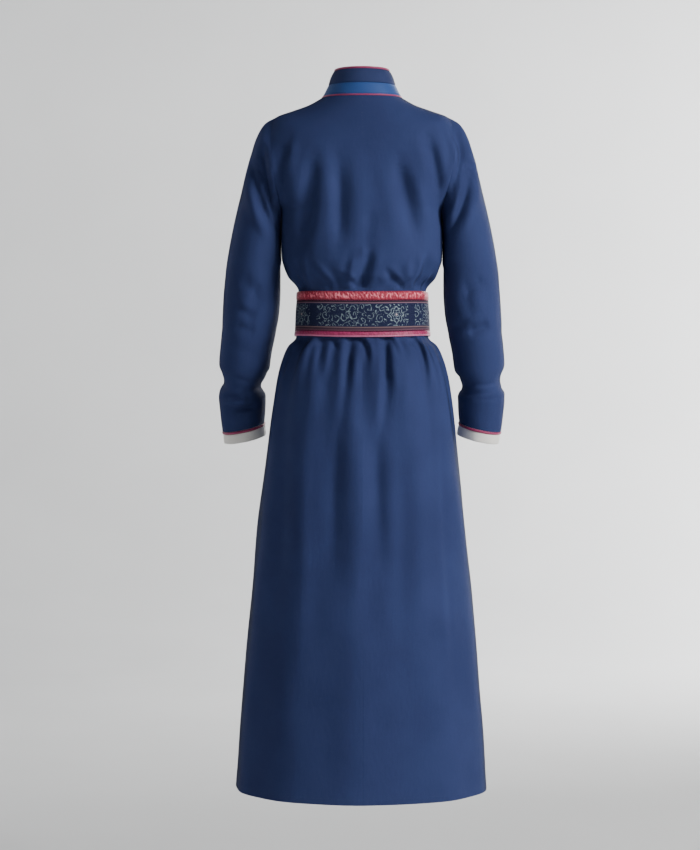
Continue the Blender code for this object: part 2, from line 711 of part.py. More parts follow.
outer_faces = piece_faces(in_front_outer) + slant_faces(True)
inner_faces = piece_faces(in_front_inner) + slant_faces(False)
lift = np.zeros(len(points))
lift[:body_count] = WRAP_LIFT * ease(LIFT_FROM, LIFT_TO, body_columns)
lift[:body_count] *= np.where(body_columns > FLAP_COLUMN + 0.1, 0.0, 1.0)

for name in ("back_left", "back_right"):
    chosen = piece_faces(lambda label, row, column: label == name)
    sheet_solid(name, points, piece_normals(chosen), chosen, CLOTH, NAVY, 0.75)
chosen_normals = piece_normals(inner_faces)
sheet_solid("front_inner", points, chosen_normals, inner_faces, CLOTH, NAVY, 0.75)
chosen_normals = piece_normals(outer_faces)
raised = points + shared * lift[:, None]
sheet_solid("front_outer", raised, chosen_normals, outer_faces, CLOTH, NAVY, 0.75)
for name in ("sleeve_left", "sleeve_right"):
    chosen = piece_faces(lambda label, row, column: label == name)
    sheet_solid(name, points, piece_normals(chosen), chosen, CLOTH, NAVY, 0.75)


def end_ring(rings, inward):
    """The sleeve's last ring moved in by a distance, and the way the sleeve points there."""
    last = points[rings[-1]]
    centre = last.mean(axis=0)
    before = points[rings[-2]].mean(axis=0)
    way = centre - before
    spread = last - np.roll(last, 2, axis=0)
    plane = np.cross(spread, np.roll(last, -2, axis=0) - last)
    plane = plane.sum(axis=0)
    plane = plane / np.linalg.norm(plane)
    if plane @ way < 0:
        plane = -plane
    out = last - centre
    out = out - np.outer(out @ plane, plane)
    out = out / np.linalg.norm(out, axis=1, keepdims=True)
    return last - out * inward, plane, out


def make_cuff(side, rings, mirror):
    """Piping round the sleeve end, and the light band under it."""
    ring, way, out = end_ring(rings, CLOTH / 2)
    drop = SEAM_GAP + CUFF_CORD
    cord = ring + way * drop
    tube_solid("cuff_piping_" + side, cord, CUFF_CORD, 6, PINK, 0.6, True, up=way)
    lean = way + np.array([0.05 * mirror, 0.0, 0.0])
    lean = lean / np.linalg.norm(lean)
    start = ring + way * (drop + CUFF_CORD + SEAM_GAP)
    foot = start + lean * CUFF_DEPTH
    top_out = start + out * CLOTH / 2
    top_in = start - out * CLOTH / 2
    low_out = foot + out * (CLOTH / 2 + 0.0002)
    low_in = foot - out * (CLOTH / 2 - 0.0002)
    count = len(ring)
    pts = np.concatenate([top_out, low_out, low_in, top_in])
    faces = []
    for i in range(count):
        j = (i + 1) % count
        for k in range(4):
            m = (k + 1) % 4
            face = (k * count + i, m * count + i, m * count + j, k * count + j)
            faces.append(face if mirror > 0 else tuple(reversed(face)))
    mesh_object("cuff_" + side, pts, faces, WHITE, 0.7)


make_cuff("left", left_rings, 1)
make_cuff("right", right_rings, -1)


def collar_point(t, phi):
    """Points of the collar; t runs from the neck seam to the free edge."""
    at = np.linspace(0, 1, len(COLLAR))
    values = {h: smooth(at, column_of(COLLAR, COLLAR_HEADS, h), t) for h in COLLAR_HEADS}
    return section(
        values["half_width"], values["back"], values["front"], 2.0,
        values["z_back"], values["z_front"], values["z_side"], phi,
    )


def collar_frame(t, phi):
    """Points of the collar with the ways out of the cloth and up it."""
    here = collar_point(t, phi)
    up = collar_point(np.minimum(t + 0.02, 1.0), phi) - collar_point(np.maximum(t - 0.02, 0.0), phi)
    along = collar_point(t, phi + 0.01) - collar_point(t, phi - 0.01)
    out = np.cross(along, -up)
    out = out / np.linalg.norm(out, axis=-1, keepdims=True)
    up = up / np.linalg.norm(up, axis=-1, keepdims=True)
    return here, out, up


def collar_lengths(phi):
    """Height of the collar along the cloth, at each angle."""
    stops = np.linspace(0, 1, 21)
    lines = np.array([collar_point(np.full(len(phi), t), phi) for t in stops])
    return np.linalg.norm(np.diff(lines, axis=0), axis=2).sum(axis=0)


def collar_angles():
    gap = math.radians(COLLAR_OPENING)
    return np.linspace(-math.pi + gap, math.pi - gap, 33)


def collar_tier(name, low, high, steps, colour):
    """A tier of the collar as a wall, open at the front middle."""
    phi = collar_angles()
    faces = []
    outer = []
    inner = []
    for k in range(steps + 1):
        t = low + (high - low) * k / steps
        here, out, up = collar_frame(t, phi)
        outer.append(here)
        inner.append(here - out * COLLAR_WALL)
    count = len(phi)
    pts = np.concatenate(outer + inner)
    layer = count * (steps + 1)
    for s in range(steps):
        for i in range(count - 1):
            a = s * count + i
            b = a + 1
            c = b + count
            d = a + count
            faces.append((a, d, c, b))
            faces.append((a + layer, b + layer, c + layer, d + layer))
    for i in range(count - 1):
        faces.append((i, i + 1, i + 1 + layer, i + layer))
        top = steps * count + i
        faces.append((top + 1, top, top + layer, top + 1 + layer))
    for s in range(steps):
        a = s * count
        d = a + count
        faces.append((d, a, a + layer, d + layer))
        a = s * count + count - 1
        d = a + count
        faces.append((a, d, d + layer, a + layer))
    mesh_object(name, pts, faces, colour, 0.7)


def collar_cord(name, t, rise, radius):
    """Piping along the collar's seam or its free edge."""
    phi = collar_angles()
    here, out, up = collar_frame(np.full(len(phi), t), phi)
    line = here - out * COLLAR_WALL / 2 + up * rise
    tube_solid(name, line, radius, 6, PINK, 0.6, False)


heights = collar_lengths(collar_angles())
cord_room = (2 * COLLAR_CORD + 2 * CORD_ROOM) / heights
half_gap = SEAM_GAP / heights / 2
edge_line = np.ones(len(heights))
collar_tier("collar_band", cord_room, COLLAR_SPLIT - half_gap, 2, ROYAL)
collar_tier("collar_stand", COLLAR_SPLIT + half_gap, edge_line, 3, NAVY)
collar_cord("collar_base_piping", 0.0, COLLAR_CORD + SEAM_GAP, COLLAR_CORD)
collar_cord("collar_top_piping", 1.0, COLLAR_CORD + CORD_ROOM, COLLAR_CORD)


def belt_line(row, start, end, out_of):
    """A line round the belt at a body row; it climbs over its own first end at the front."""
    steps = int(round((end - start) / 7.5))
    degrees = np.linspace(start, end, steps + 1)
    column = degrees / 7.5
    here = body_base(np.full(len(column), float(row)), column % COLUMNS)
    nudge = 0.02
    ahead = body_base(np.full(len(column), float(row)), (column + nudge) % COLUMNS)
    behind = body_base(np.full(len(column), float(row)), (column - nudge) % COLUMNS)
    way = ahead - behind
    out = np.cross(way, np.array([0.0, 0.0, -1.0]))
    out = out / np.linalg.norm(out, axis=1, keepdims=True)
    raise_by = WRAP_LIFT * ease(LIFT_FROM, LIFT_TO, column % COLUMNS)
    past = ease(3 * QUARTER - 1, 3 * QUARTER + 2, column % COLUMNS)
    raise_by = raise_by * (1 - past)
    over = (BELT_WALL + SEAM_GAP) * ease(end - BELT_OVERLAP - 33.75, end - BELT_OVERLAP - 3.75, degrees)
    away = raise_by + BELT_EASE + over + out_of
    return here + out * away[:, None]


def belt_strip(name, row_top, row_low, colour, roughness):
    """One strip of the belt, between two body rows."""
    middle = 180.0
    start = middle - BELT_OVERLAP / 2 - 360.0
    end = middle + BELT_OVERLAP / 2
    strip_solid(
        name,
        belt_line(row_top, start, end, BELT_WALL),
        belt_line(row_low, start, end, BELT_WALL),
        belt_line(row_top, start, end, 0.0),
        belt_line(row_low, start, end, 0.0),
        colour,
        roughness,
    )


BELT_ROWS = BELT_LOW_ROW - BELT_TOP_ROW
BELT_HEIGHT = 0.082
gap_rows = SEAM_GAP / BELT_HEIGHT * BELT_ROWS
top_band = BELT_TOP_ROW + 0.0165 / BELT_HEIGHT * BELT_ROWS
low_band = BELT_LOW_ROW - 0.0120 / BELT_HEIGHT * BELT_ROWS
belt_strip("belt_top_band", BELT_TOP_ROW, top_band - gap_rows / 2, (0.62, 0.09, 0.14), 0.45)
belt_strip("belt", top_band + gap_rows / 2, low_band - gap_rows / 2, (0.03, 0.035, 0.06), 0.5)
belt_strip("belt_bottom_band", low_band + gap_rows / 2, BELT_LOW_ROW, (0.55, 0.05, 0.20), 0.45)


def strip_points(ends, outs, half_width, low, high):
    """Corners of a flat strip that lies over a line of points."""
    way = ends[-1] - ends[0]
    way = way / np.linalg.norm(way)
    pts = []
    for end, out in zip(ends, outs):
        side = np.cross(out, way)
        side = side / np.linalg.norm(side)
        for width, rise in ((-1, low), (1, low), (1, high), (-1, high)):
            pts.append(end + side * half_width * width + out * rise)
    return pts


def make_fastening(name, row, column):
    """A knot button on the inner front, and the loop tab on the outer front that reaches it."""
    a = ids[row, 2 * column - 2]
    e = ids[row, 2 * column]
    n = ids[row, 2 * column + 2]
    beyond = points[n] - points[e]
    beyond = beyond / np.linalg.norm(beyond)
    inside = points[a] - points[e]
    inside = inside / np.linalg.norm(inside)
    length = min(TAB_LENGTH, 0.9 * float(np.linalg.norm(points[a] - points[e])))
    ends = [points[e] + inside * length, points[e] + inside * 0.0005, points[e] + beyond * 0.0012]
    share = length / float(np.linalg.norm(points[a] - points[e]))
    far = shared[a] * share + shared[e] * (1 - share)
    outs = [far / np.linalg.norm(far), shared[e], shared[e]]
    low = WRAP_LIFT + 2 * SEAM_GAP
    pts = strip_points(ends, outs, TAB_WIDTH / 2, low, low + TAB_WALL)
    faces = [(3, 2, 1, 0), (8, 9, 10, 11)]
    for k in range(2):
        for m in range(4):
            q = (m + 1) % 4
            faces.append((4 * k + m, 4 * k + q, 4 * k + 4 + q, 4 * k + 4 + m))
    mesh_object("loop_" + name, pts, faces, NAVY, 0.6)
    out = shared[e] + shared[n]
    out = out / np.linalg.norm(out)
    centre = points[e] + beyond * (KNOT + 0.0022) + out * (KNOT + SEAM_GAP)
    pts = [centre - out * KNOT]
    side = np.cross(out, beyond)
    side = side / np.linalg.norm(side)
    fore = np.cross(side, out)
    turns = 10
    bands = 6
    for i in range(1, bands):
        polar = math.pi * i / bands
        for k in range(turns):
            turn = 2 * math.pi * k / turns
            round_way = math.cos(turn) * fore + math.sin(turn) * side
            pts.append(centre + KNOT * (math.sin(polar) * round_way - math.cos(polar) * out))
    pts.append(centre + out * KNOT)
    faces = []
    top = len(pts) - 1
    for k in range(turns):
        m = (k + 1) % turns
        faces.append((0, 1 + m, 1 + k))
        last = 1 + (bands - 2) * turns
        faces.append((top, last + k, last + m))
        for i in range(bands - 2):
            b = 1 + i * turns
            faces.append((b + k, b + m, b + turns + m, b + turns + k))
    mesh_object("button_" + name, pts, faces, PINK, 0.5)


for name, row, column in FASTENINGS:
    make_fastening(name, row, column)
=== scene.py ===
# %% [markdown]
# # A long wrap robe, seen from behind
# This lesson dresses a robe that was modelled as solid pieces. Each solid stays in the model for
# collision, and a finer sheet of cloth takes its place in the picture: the same sections, the
# same gathers, and then the small pleats, creases, weave and stitches that a solid leaves out.

# %% Load the frame
import math

import bmesh
import bpy
import numpy as np
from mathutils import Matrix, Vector


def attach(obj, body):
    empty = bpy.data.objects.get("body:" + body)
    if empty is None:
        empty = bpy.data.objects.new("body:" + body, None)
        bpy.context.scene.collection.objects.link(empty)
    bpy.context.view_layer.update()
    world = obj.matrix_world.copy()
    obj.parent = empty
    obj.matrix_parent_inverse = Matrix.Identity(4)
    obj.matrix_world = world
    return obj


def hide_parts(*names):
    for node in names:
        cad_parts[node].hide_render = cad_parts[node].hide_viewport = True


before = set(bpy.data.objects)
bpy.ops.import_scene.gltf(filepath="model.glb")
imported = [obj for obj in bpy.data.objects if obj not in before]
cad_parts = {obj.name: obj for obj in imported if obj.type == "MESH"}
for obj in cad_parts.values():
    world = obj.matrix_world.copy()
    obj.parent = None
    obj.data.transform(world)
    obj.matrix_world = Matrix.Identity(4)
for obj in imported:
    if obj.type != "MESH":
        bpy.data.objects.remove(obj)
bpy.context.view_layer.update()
print("pieces in the frame:", len(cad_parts))

# %% [markdown]
# ## The sizes of the robe
# The body is a stack of sections from the neck to the hem, and each row of the table is one
# section: its half width, its depth behind and in front, how square it is, and its level. A
# tailor would take the same numbers with a tape. The sleeves have a table of their own,
# because a sleeve's sections lie slanted at the armhole and level at the wrist.

# %% Sizes and tables
CLOTH = 0.0018
SEAM = 0.00001
WRAP_LIFT = 0.0023
BELT_WALL = 0.0022
BELT_EASE = 0.0005
BELT_OVERLAP = 45.0
COLLAR_WALL = 0.0022
COLLAR_CORD = 0.0018
CORD_ROOM = 0.0009
CUFF_CORD = 0.0026
CUFF_DEPTH = 0.0177
KNOT = 0.0055

# Columns run round the body: 0 back middle, 12 left side, 24 front middle, 36 right side
COLUMNS = 48
QUARTER = 12
ARM_EDGE = 11  # the column beside the side line, which is the edge of the armhole
TIP_ROW = 3  # shoulder tip, where the armhole starts
UNDERARM_ROW = 12
BELT_TOP_ROW = 17
BELT_LOW_ROW = 19
HEM_ROW = 27
BELT_TOP = -0.361  # level where the pockets over the belt start
BELT_FOOT = -0.443  # level where the gathers under the belt start

# Sections of the body from the neck to the hem
BODY_HEADS = (
    "half_width", "back", "front", "power", "z_back", "z_front", "z_side", "arm_back", "arm_front",
)
BODY = (
    (0.0755, 0.0640, 0.0700, 2.00, -0.0040, -0.0550, 0.0000, 82.5, 82.5),  # neck
    (0.1000, 0.0740, 0.0830, 2.05, -0.0260, -0.0690, -0.0135, 82.5, 82.5),
    (0.1290, 0.0830, 0.0930, 2.15, -0.0500, -0.0880, -0.0240, 82.5, 82.5),
    (0.1600, 0.0905, 0.1000, 2.30, -0.0740, -0.1100, -0.0360, 82.5, 82.5),  # shoulder tip
    (0.1740, 0.0945, 0.1045, 2.40, -0.0900, -0.1230, -0.0550, 71.0, 70.0),
    (0.1840, 0.0975, 0.1080, 2.40, -0.1060, -0.1360, -0.0740, 63.5, 61.5),
    (0.1900, 0.1000, 0.1105, 2.40, -0.1220, -0.1490, -0.0940, 59.0, 56.5),
    (0.1920, 0.1020, 0.1120, 2.40, -0.1380, -0.1610, -0.1140, 57.0, 54.5),
    (0.1890, 0.1035, 0.1130, 2.40, -0.1540, -0.1730, -0.1340, 57.0, 54.5),
    (0.1810, 0.1045, 0.1135, 2.40, -0.1700, -0.1840, -0.1540, 59.5, 57.0),
    (0.1700, 0.1050, 0.1140, 2.40, -0.1860, -0.1950, -0.1740, 64.0, 62.0),
    (0.1580, 0.1052, 0.1140, 2.40, -0.2010, -0.2060, -0.1940, 71.5, 70.5),
    (0.1485, 0.1055, 0.1135, 2.40, -0.2160, -0.2170, -0.2140, 82.5, 82.5),  # underarm
    (0.1488, 0.1065, 0.1135, 2.40, -0.2460, -0.2460, -0.2450, 82.5, 82.5),
    (0.1490, 0.1075, 0.1130, 2.35, -0.2770, -0.2760, -0.2760, 82.5, 82.5),
    (0.1465, 0.1080, 0.1120, 2.30, -0.3050, -0.3040, -0.3040, 82.5, 82.5),
    (0.1380, 0.1050, 0.1070, 2.25, -0.3340, -0.3310, -0.3310, 82.5, 82.5),
    (0.1186, 0.0923, 0.0895, 2.20, -0.3640, -0.3580, -0.3595, 82.5, 82.5),  # belt top
    (0.1208, 0.0938, 0.0912, 2.20, -0.4055, -0.3990, -0.4003, 82.5, 82.5),
    (0.1230, 0.0953, 0.0930, 2.20, -0.4470, -0.4400, -0.4410, 82.5, 82.5),  # belt foot
    (0.1400, 0.1080, 0.1060, 2.20, -0.4640, -0.4580, -0.4590, 82.5, 82.5),
    (0.1510, 0.1190, 0.1170, 2.20, -0.4860, -0.4820, -0.4820, 82.5, 82.5),
    (0.1610, 0.1280, 0.1270, 2.20, -0.5180, -0.5160, -0.5160, 82.5, 82.5),
    (0.1695, 0.1355, 0.1345, 2.15, -0.5720, -0.5710, -0.5710, 82.5, 82.5),
    (0.1780, 0.1425, 0.1415, 2.10, -0.6550, -0.6550, -0.6550, 82.5, 82.5),
    (0.1925, 0.1545, 0.1535, 2.10, -0.8100, -0.8100, -0.8100, 82.5, 82.5),
    (0.2130, 0.1705, 0.1695, 2.10, -1.0300, -1.0300, -1.0300, 82.5, 82.5),
    (0.2310, 0.1860, 0.1845, 2.10, -1.2760, -1.2760, -1.2760, 82.5, 82.5),  # hem
)

# Sections of a sleeve, from the armhole to the wrist
SLEEVE_HEADS = (
    "outer_x", "outer_z", "inner_x", "inner_z", "half_depth", "mid_y", "tilt",
)
SLEEVE = (
    (0.1600, -0.0360, 0.1480, -0.2140, 0.0600, 0.0020, 0.0),  # armhole
    (0.1800, -0.0470, 0.1502, -0.2330, 0.0610, 0.0010, 0.0),
    (0.1960, -0.0730, 0.1508, -0.2520, 0.0615, 0.0000, 0.0),
    (0.2070, -0.1080, 0.1512, -0.2710, 0.0615, -0.0010, 0.0),
    (0.2200, -0.1550, 0.1514, -0.2920, 0.0615, -0.0030, 0.0),
    (0.2350, -0.2160, 0.1514, -0.3200, 0.0610, -0.0060, 0.0),
    (0.2480, -0.2820, 0.1516, -0.3540, 0.0605, -0.0110, 2.0),
    (0.2570, -0.3420, 0.1540, -0.3920, 0.0590, -0.0180, 4.0),
    (0.2615, -0.4000, 0.1605, -0.4310, 0.0565, -0.0260, 6.0),
    (0.2650, -0.4500, 0.1690, -0.4700, 0.0535, -0.0350, 8.0),
    (0.2680, -0.4900, 0.1740, -0.5020, 0.0515, -0.0430, 9.0),
    (0.2610, -0.5180, 0.1880, -0.5300, 0.0460, -0.0480, 10.0),  # wrist wrinkle
    (0.2705, -0.5500, 0.1810, -0.5520, 0.0485, -0.0530, 10.0),
    (0.2670, -0.5850, 0.1820, -0.5780, 0.0460, -0.0580, 10.0),
    (0.2630, -0.6170, 0.1840, -0.6000, 0.0425, -0.0620, 10.0),  # sleeve end
)

# Collar, from the neck seam to the free edge
COLLAR_HEADS = ("half_width", "back", "front", "z_back", "z_front", "z_side")
COLLAR = (
    (0.0755, 0.0640, 0.0700, -0.0040, -0.0550, 0.0000),
    (0.0685, 0.0605, 0.0660, 0.0080, -0.0440, 0.0110),
    (0.0630, 0.0575, 0.0620, 0.0215, -0.0320, 0.0235),
    (0.0580, 0.0540, 0.0580, 0.0370, -0.0190, 0.0385),
    (0.0525, 0.0500, 0.0530, 0.0485, -0.0080, 0.0500),
)
COLLAR_SPLIT = 0.5  # where the lower tier meets the upper tier
COLLAR_OPENING = 1.6  # degrees from the front middle to each end of the collar

# Gathers under the belt: column at the belt, column where it ends, level of its end, width in
# columns, depth
GATHER_HEADS = ("column", "column_low", "level", "width", "depth")
GATHERS = (
    (7.0, 7.9, -0.720, 0.85, 0.0085),
    (4.9, 5.2, -0.620, 0.70, 0.0060),
    (3.0, 3.0, -0.950, 0.80, 0.0095),
    (1.5, 1.9, -0.640, 0.65, 0.0070),
    (0.1, -0.3, -0.800, 0.65, 0.0090),
    (-1.9, -2.2, -0.760, 0.75, 0.0095),
    (-3.9, -4.4, -0.600, 0.80, 0.0060),
    (-5.8, -6.6, -0.900, 0.85, 0.0095),
    (-8.2, -8.8, -0.640, 0.80, 0.0065),
    (9.2, 9.8, -0.640, 0.85, 0.0070),
    (11.4, 11.8, -0.800, 0.80, 0.0080),
    (13.6, 13.8, -0.620, 0.75, 0.0065),
    (15.7, 15.4, -0.880, 0.85, 0.0090),
    (17.8, 17.2, -0.640, 0.75, 0.0065),
    (19.9, 19.5, -0.740, 0.80, 0.0085),
    (22.2, 22.4, -0.640, 0.75, 0.0070),
    (24.3, 24.9, -0.920, 0.80, 0.0090),
    (26.5, 26.9, -0.640, 0.75, 0.0065),
    (28.6, 29.3, -0.760, 0.85, 0.0085),
    (30.8, 31.3, -0.620, 0.75, 0.0065),
    (33.0, 32.6, -0.860, 0.80, 0.0080),
    (37.6, 37.2, -0.780, 0.80, 0.0080),
)

# Long waves down the skirt: column at the hip, column at the hem, width in columns, height
WAVE_HEADS = ("column", "column_low", "width", "height")
WAVES = (
    (0.6, 0.5, 1.1, 0.0040),
    (-4.2, -5.4, 1.5, 0.0045),
    (4.4, 5.0, 1.5, 0.0035),
    (8.8, 9.3, 1.6, 0.0040),
    (13.0, 12.8, 1.6, 0.0040),
    (17.2, 16.6, 1.5, 0.0045),
    (21.2, 21.2, 1.4, 0.0040),
    (25.6, 26.4, 1.5, 0.0045),
    (30.2, 30.6, 1.5, 0.0040),
    (38.8, 38.6, 1.6, 0.0040),
)

# Pockets of slack cloth over the belt: column, how far up it reaches, width in columns, depth
POCKET_HEADS = ("column", "lean", "level", "width", "depth")
POCKETS = (
    (0.1, -1.0, -0.290, 0.80, 0.0065),
    (-2.7, -0.4, -0.315, 0.70, 0.0060),
    (2.5, 0.3, -0.305, 0.80, 0.0060),
    (5.2, 0.5, -0.312, 0.75, 0.0050),
    (-7.2, 0.3, -0.296, 0.85, 0.0070),
    (-4.9, -0.3, -0.318, 0.70, 0.0045),
    (8.6, -0.3, -0.300, 0.85, 0.0060),
    (12.6, 0.2, -0.310, 0.85, 0.0050),
    (15.8, 0.5, -0.300, 0.85, 0.0060),
    (18.6, 0.4, -0.312, 0.80, 0.0055),
    (21.3, 0.2, -0.292, 0.85, 0.0065),
    (24.2, -0.3, -0.308, 0.80, 0.0060),
    (27.0, -0.5, -0.296, 0.85, 0.0065),
    (29.9, -0.5, -0.312, 0.80, 0.0055),
    (33.0, -0.4, -0.302, 0.85, 0.0055),
    (38.4, -0.2, -0.306, 0.85, 0.0055),
)

# Creases on the upper body and the sleeves, by x and z as seen square on to the side they lie
# on; a negative depth is a ridge
CREASE_HEADS = ("side", "x0", "z0", "x1", "z1", "x2", "z2", "width", "depth")
BODY_CREASES = (
    (1, 0.134, -0.089, 0.147, -0.135, 0.150, -0.186, 0.010, 0.0045),
    (1, -0.112, -0.084, -0.134, -0.140, -0.140, -0.192, 0.011, 0.0050),
    (1, -0.067, -0.120, -0.078, -0.195, -0.101, -0.276, 0.013, 0.0040),
    (1, 0.084, -0.120, 0.094, -0.195, 0.102, -0.276, 0.013, 0.0040),
    (1, 0.047, -0.130, 0.043, -0.205, 0.040, -0.286, 0.012, 0.0028),
    (1, -0.012, -0.215, -0.012, -0.255, -0.003, -0.300, 0.012, 0.0030),
    (-1, 0.118, -0.110, 0.132, -0.150, 0.140, -0.200, 0.011, 0.0045),
    (-1, -0.120, -0.112, -0.134, -0.150, -0.140, -0.198, 0.011, 0.0040),
    (-1, 0.070, -0.150, 0.082, -0.215, 0.092, -0.285, 0.013, 0.0040),
    (-1, 0.020, -0.190, 0.026, -0.240, 0.030, -0.300, 0.013, 0.0035),
    (-1, -0.045, -0.180, -0.055, -0.235, -0.062, -0.295, 0.013, 0.0040),
)
SLEEVE_CREASES = (
    (1, 0.204, -0.112, 0.190, -0.160, 0.168, -0.215, 0.010, 0.0065),
    (1, 0.226, -0.330, 0.205, -0.352, 0.182, -0.362, 0.011, 0.0035),
    (1, 0.238, -0.415, 0.216, -0.428, 0.192, -0.432, 0.010, 0.0030),
    (-1, 0.200, -0.118, 0.186, -0.165, 0.168, -0.215, 0.010, 0.0060),
    (-1, 0.232, -0.318, 0.205, -0.345, 0.178, -0.352, 0.011, 0.0045),
    (-1, 0.240, -0.372, 0.214, -0.392, 0.188, -0.398, 0.010, 0.0040),
)

# Fastenings down the edge of the outer front: name, row and column of the edge point
FASTENINGS = (
    ("neck", 1, 25),
    ("chest", 6, 30),
)

FINE = 6  # columns, and rows of the upper body, are cut this fine
CREASE_STEPS = 24  # a crease's curve is followed in this many steps
WAVE_TOP = -0.56  # the skirt's long waves start here and grow over the run below it
WAVE_RUN = 0.70
print("body sections:", len(BODY), " sleeve sections:", len(SLEEVE), " gathers:", len(GATHERS))

# %% [markdown]
# ## From a table to a smooth curve
# A garment has no corners between its sections, so each column of a table is read as a smooth
# curve. The curve here never overshoots, which keeps a waist from bulging the wrong way. The
# section itself is a rounded rectangle: a power of 2 is an ellipse, and more is squarer.

# %% Curves, sections and folds


def column_of(table, heads, name):
    """One named column of a table."""
    return np.array([row[heads.index(name)] for row in table], float)


def smooth(at, values, x):
    """Cubic curve through the values with no overshoot, read at x."""
    at = np.asarray(at, float)
    values = np.asarray(values, float)
    x = np.clip(np.asarray(x, float), at[0], at[-1])
    step = np.diff(at)
    slope = np.diff(values) / step
    flat = slope[:-1] * slope[1:] <= 0
    total = 3.0 * (step[:-1] + step[1:])
    first = (2.0 * step[1:] + step[:-1]) / np.where(flat, 1.0, slope[:-1])
    second = (step[1:] + 2.0 * step[:-1]) / np.where(flat, 1.0, slope[1:])
    inner = np.where(flat, 0.0, total / np.where(flat, 1.0, first + second))
    tangent = np.concatenate([[slope[0]], inner, [slope[-1]]])
    i = np.clip(np.searchsorted(at, x, side="right") - 1, 0, len(step) - 1)
    t = (x - at[i]) / step[i]
    h = step[i]
    low = (1 + 2 * t) * (1 - t) ** 2 * values[i] + t * (1 - t) ** 2 * h * tangent[i]
    high = t * t * (3 - 2 * t) * values[i + 1] + t * t * (t - 1) * h * tangent[i + 1]
    return low + high


def ease(a, b, x):
    """0 below a, 1 above b, with a soft change between."""
    t = np.clip((np.asarray(x, float) - a) / (b - a), 0, 1)
    return t * t * (3 - 2 * t)


def reader(table, heads):
    """A function that reads any column of the table at a real row number."""
    rows = np.arange(len(table))
    return lambda name, row: smooth(rows, column_of(table, heads, name), row)


body_at = reader(BODY, BODY_HEADS)
sleeve_at = reader(SLEEVE, SLEEVE_HEADS)


def section(half_width, back, front, power, z_back, z_front, z_side, phi):
    """Points of a closed section; phi is 0 at the back middle and 90 degrees at the left side."""
    s = np.sin(phi)
    c = np.cos(phi)
    root = 2.0 / power
    depth = np.where(c >= 0, back, front)
    centre = np.where(c >= 0, z_back, z_front)
    x = half_width * np.sign(s) * np.abs(s) ** root
    y = depth * np.sign(c) * np.abs(c) ** root
    z = centre + (z_side - centre) * s * s
    return np.stack(np.broadcast_arrays(x, y, z), axis=-1)


def column_angle(row, column):
    """Angle of a column, which draws in along the armhole rows."""
    turn = (np.asarray(column, float) + QUARTER) % COLUMNS - QUARTER
    on_back = np.abs(turn) <= QUARTER
    from_middle = np.where(on_back, turn, 2 * QUARTER - turn)
    edge = np.where(on_back, body_at("arm_back", row), body_at("arm_front", row))
    spread = np.abs(from_middle) / ARM_EDGE
    angle = np.where(spread <= 1, spread * edge, edge + (spread - 1) * ARM_EDGE * (90 - edge))
    angle = np.sign(from_middle) * angle
    return np.radians(np.where(on_back, angle, 180 - angle))


def body_base(row, column):
    """The robe's body without folds."""
    row = np.asarray(row, float)
    values = [body_at(name, row) for name in BODY_HEADS[:7]]
    return section(*values, column_angle(row, column))


def across(column, centre):
    """How many columns lie between the column and the centre, by the shorter way."""
    return (column - centre + COLUMNS / 2) % COLUMNS - COLUMNS / 2


def bend(knots, steps):
    """Places along the smooth curve through three knots."""
    t = np.linspace(0, 1, steps + 1)[:, None]
    pull = 2 * knots[1] - (knots[0] + knots[2]) / 2
    return (1 - t) ** 2 * knots[0] + 2 * t * (1 - t) * pull + t**2 * knots[2]


def crease_depth(table, points, facing, mirror=1):
    """Depth of the creases of a table at each point; facing is the y of the outward normal."""
    depth = np.zeros(len(points))
    plane = points[:, [0, 2]] * np.array([mirror, 1.0])
    for side, x0, z0, x1, z1, x2, z2, width, deep in table:
        path = bend(np.array([[x0, z0], [x1, z1], [x2, z2]]), CREASE_STEPS)
        gap = np.linalg.norm(plane[:, None, :] - path[None], axis=2)
        nearest = gap.argmin(axis=1)
        along = nearest / CREASE_STEPS
        body = ease(0, 0.25, along) * ease(0, 0.3, 1 - along)
        body = np.maximum(body, 0.15)
        seen = ease(0.05, 0.4, facing * side)
        depth += deep * body * seen * np.exp(-((gap[np.arange(len(gap)), nearest] / width) ** 2))
    return depth


def gather_depth(column, z):
    """How far the gathers under the belt and the pockets over it draw the cloth in."""
    depth = np.zeros(len(column))
    for c0, c1, level, width, deep in GATHERS:
        t = np.clip((BELT_FOOT - z) / (BELT_FOOT - level), 0, 1)
        centre = c0 + (c1 - c0) * t
        strength = ease(-0.6, 1.0, (BELT_FOOT - z) / 0.022) * (1 - ease(0.1, 1, t))
        strength = np.where(z > BELT_FOOT + 0.012, 0, strength)
        spread = width * (1 + 0.5 * t)
        depth += deep * strength * np.exp(-((across(column, centre) / spread) ** 2))
    for c0, lean, level, width, deep in POCKETS:
        t = np.clip((z - BELT_TOP) / (level - BELT_TOP), 0, 1)
        centre = c0 + lean * t
        strength = ease(-0.6, 1.0, (z - BELT_TOP) / 0.016) * (1 - ease(0.15, 1, t))
        strength = np.where(z < BELT_TOP - 0.012, 0, strength)
        depth += deep * strength * np.exp(-((across(column, centre) / width) ** 2))
    return depth


def wave_height(column, z):
    """How far the long waves of the skirt stand out."""
    height = np.zeros(len(column))
    t = np.clip((WAVE_TOP - z) / WAVE_RUN, 0, 1)
    grow = ease(0, 0.35, t)
    for c0, c1, width, high in WAVES:
        centre = c0 + (c1 - c0) * t
        height += high * grow * np.exp(-((across(column, centre) / width) ** 2))
    return height


def unit(v):
    """Each row at length one."""
    return v / np.maximum(np.linalg.norm(v, axis=-1, keepdims=True), 1e-12)


print("neck to hem:", round(float(body_at("z_side", 0) - body_at("z_side", HEM_ROW)), 3), "m")

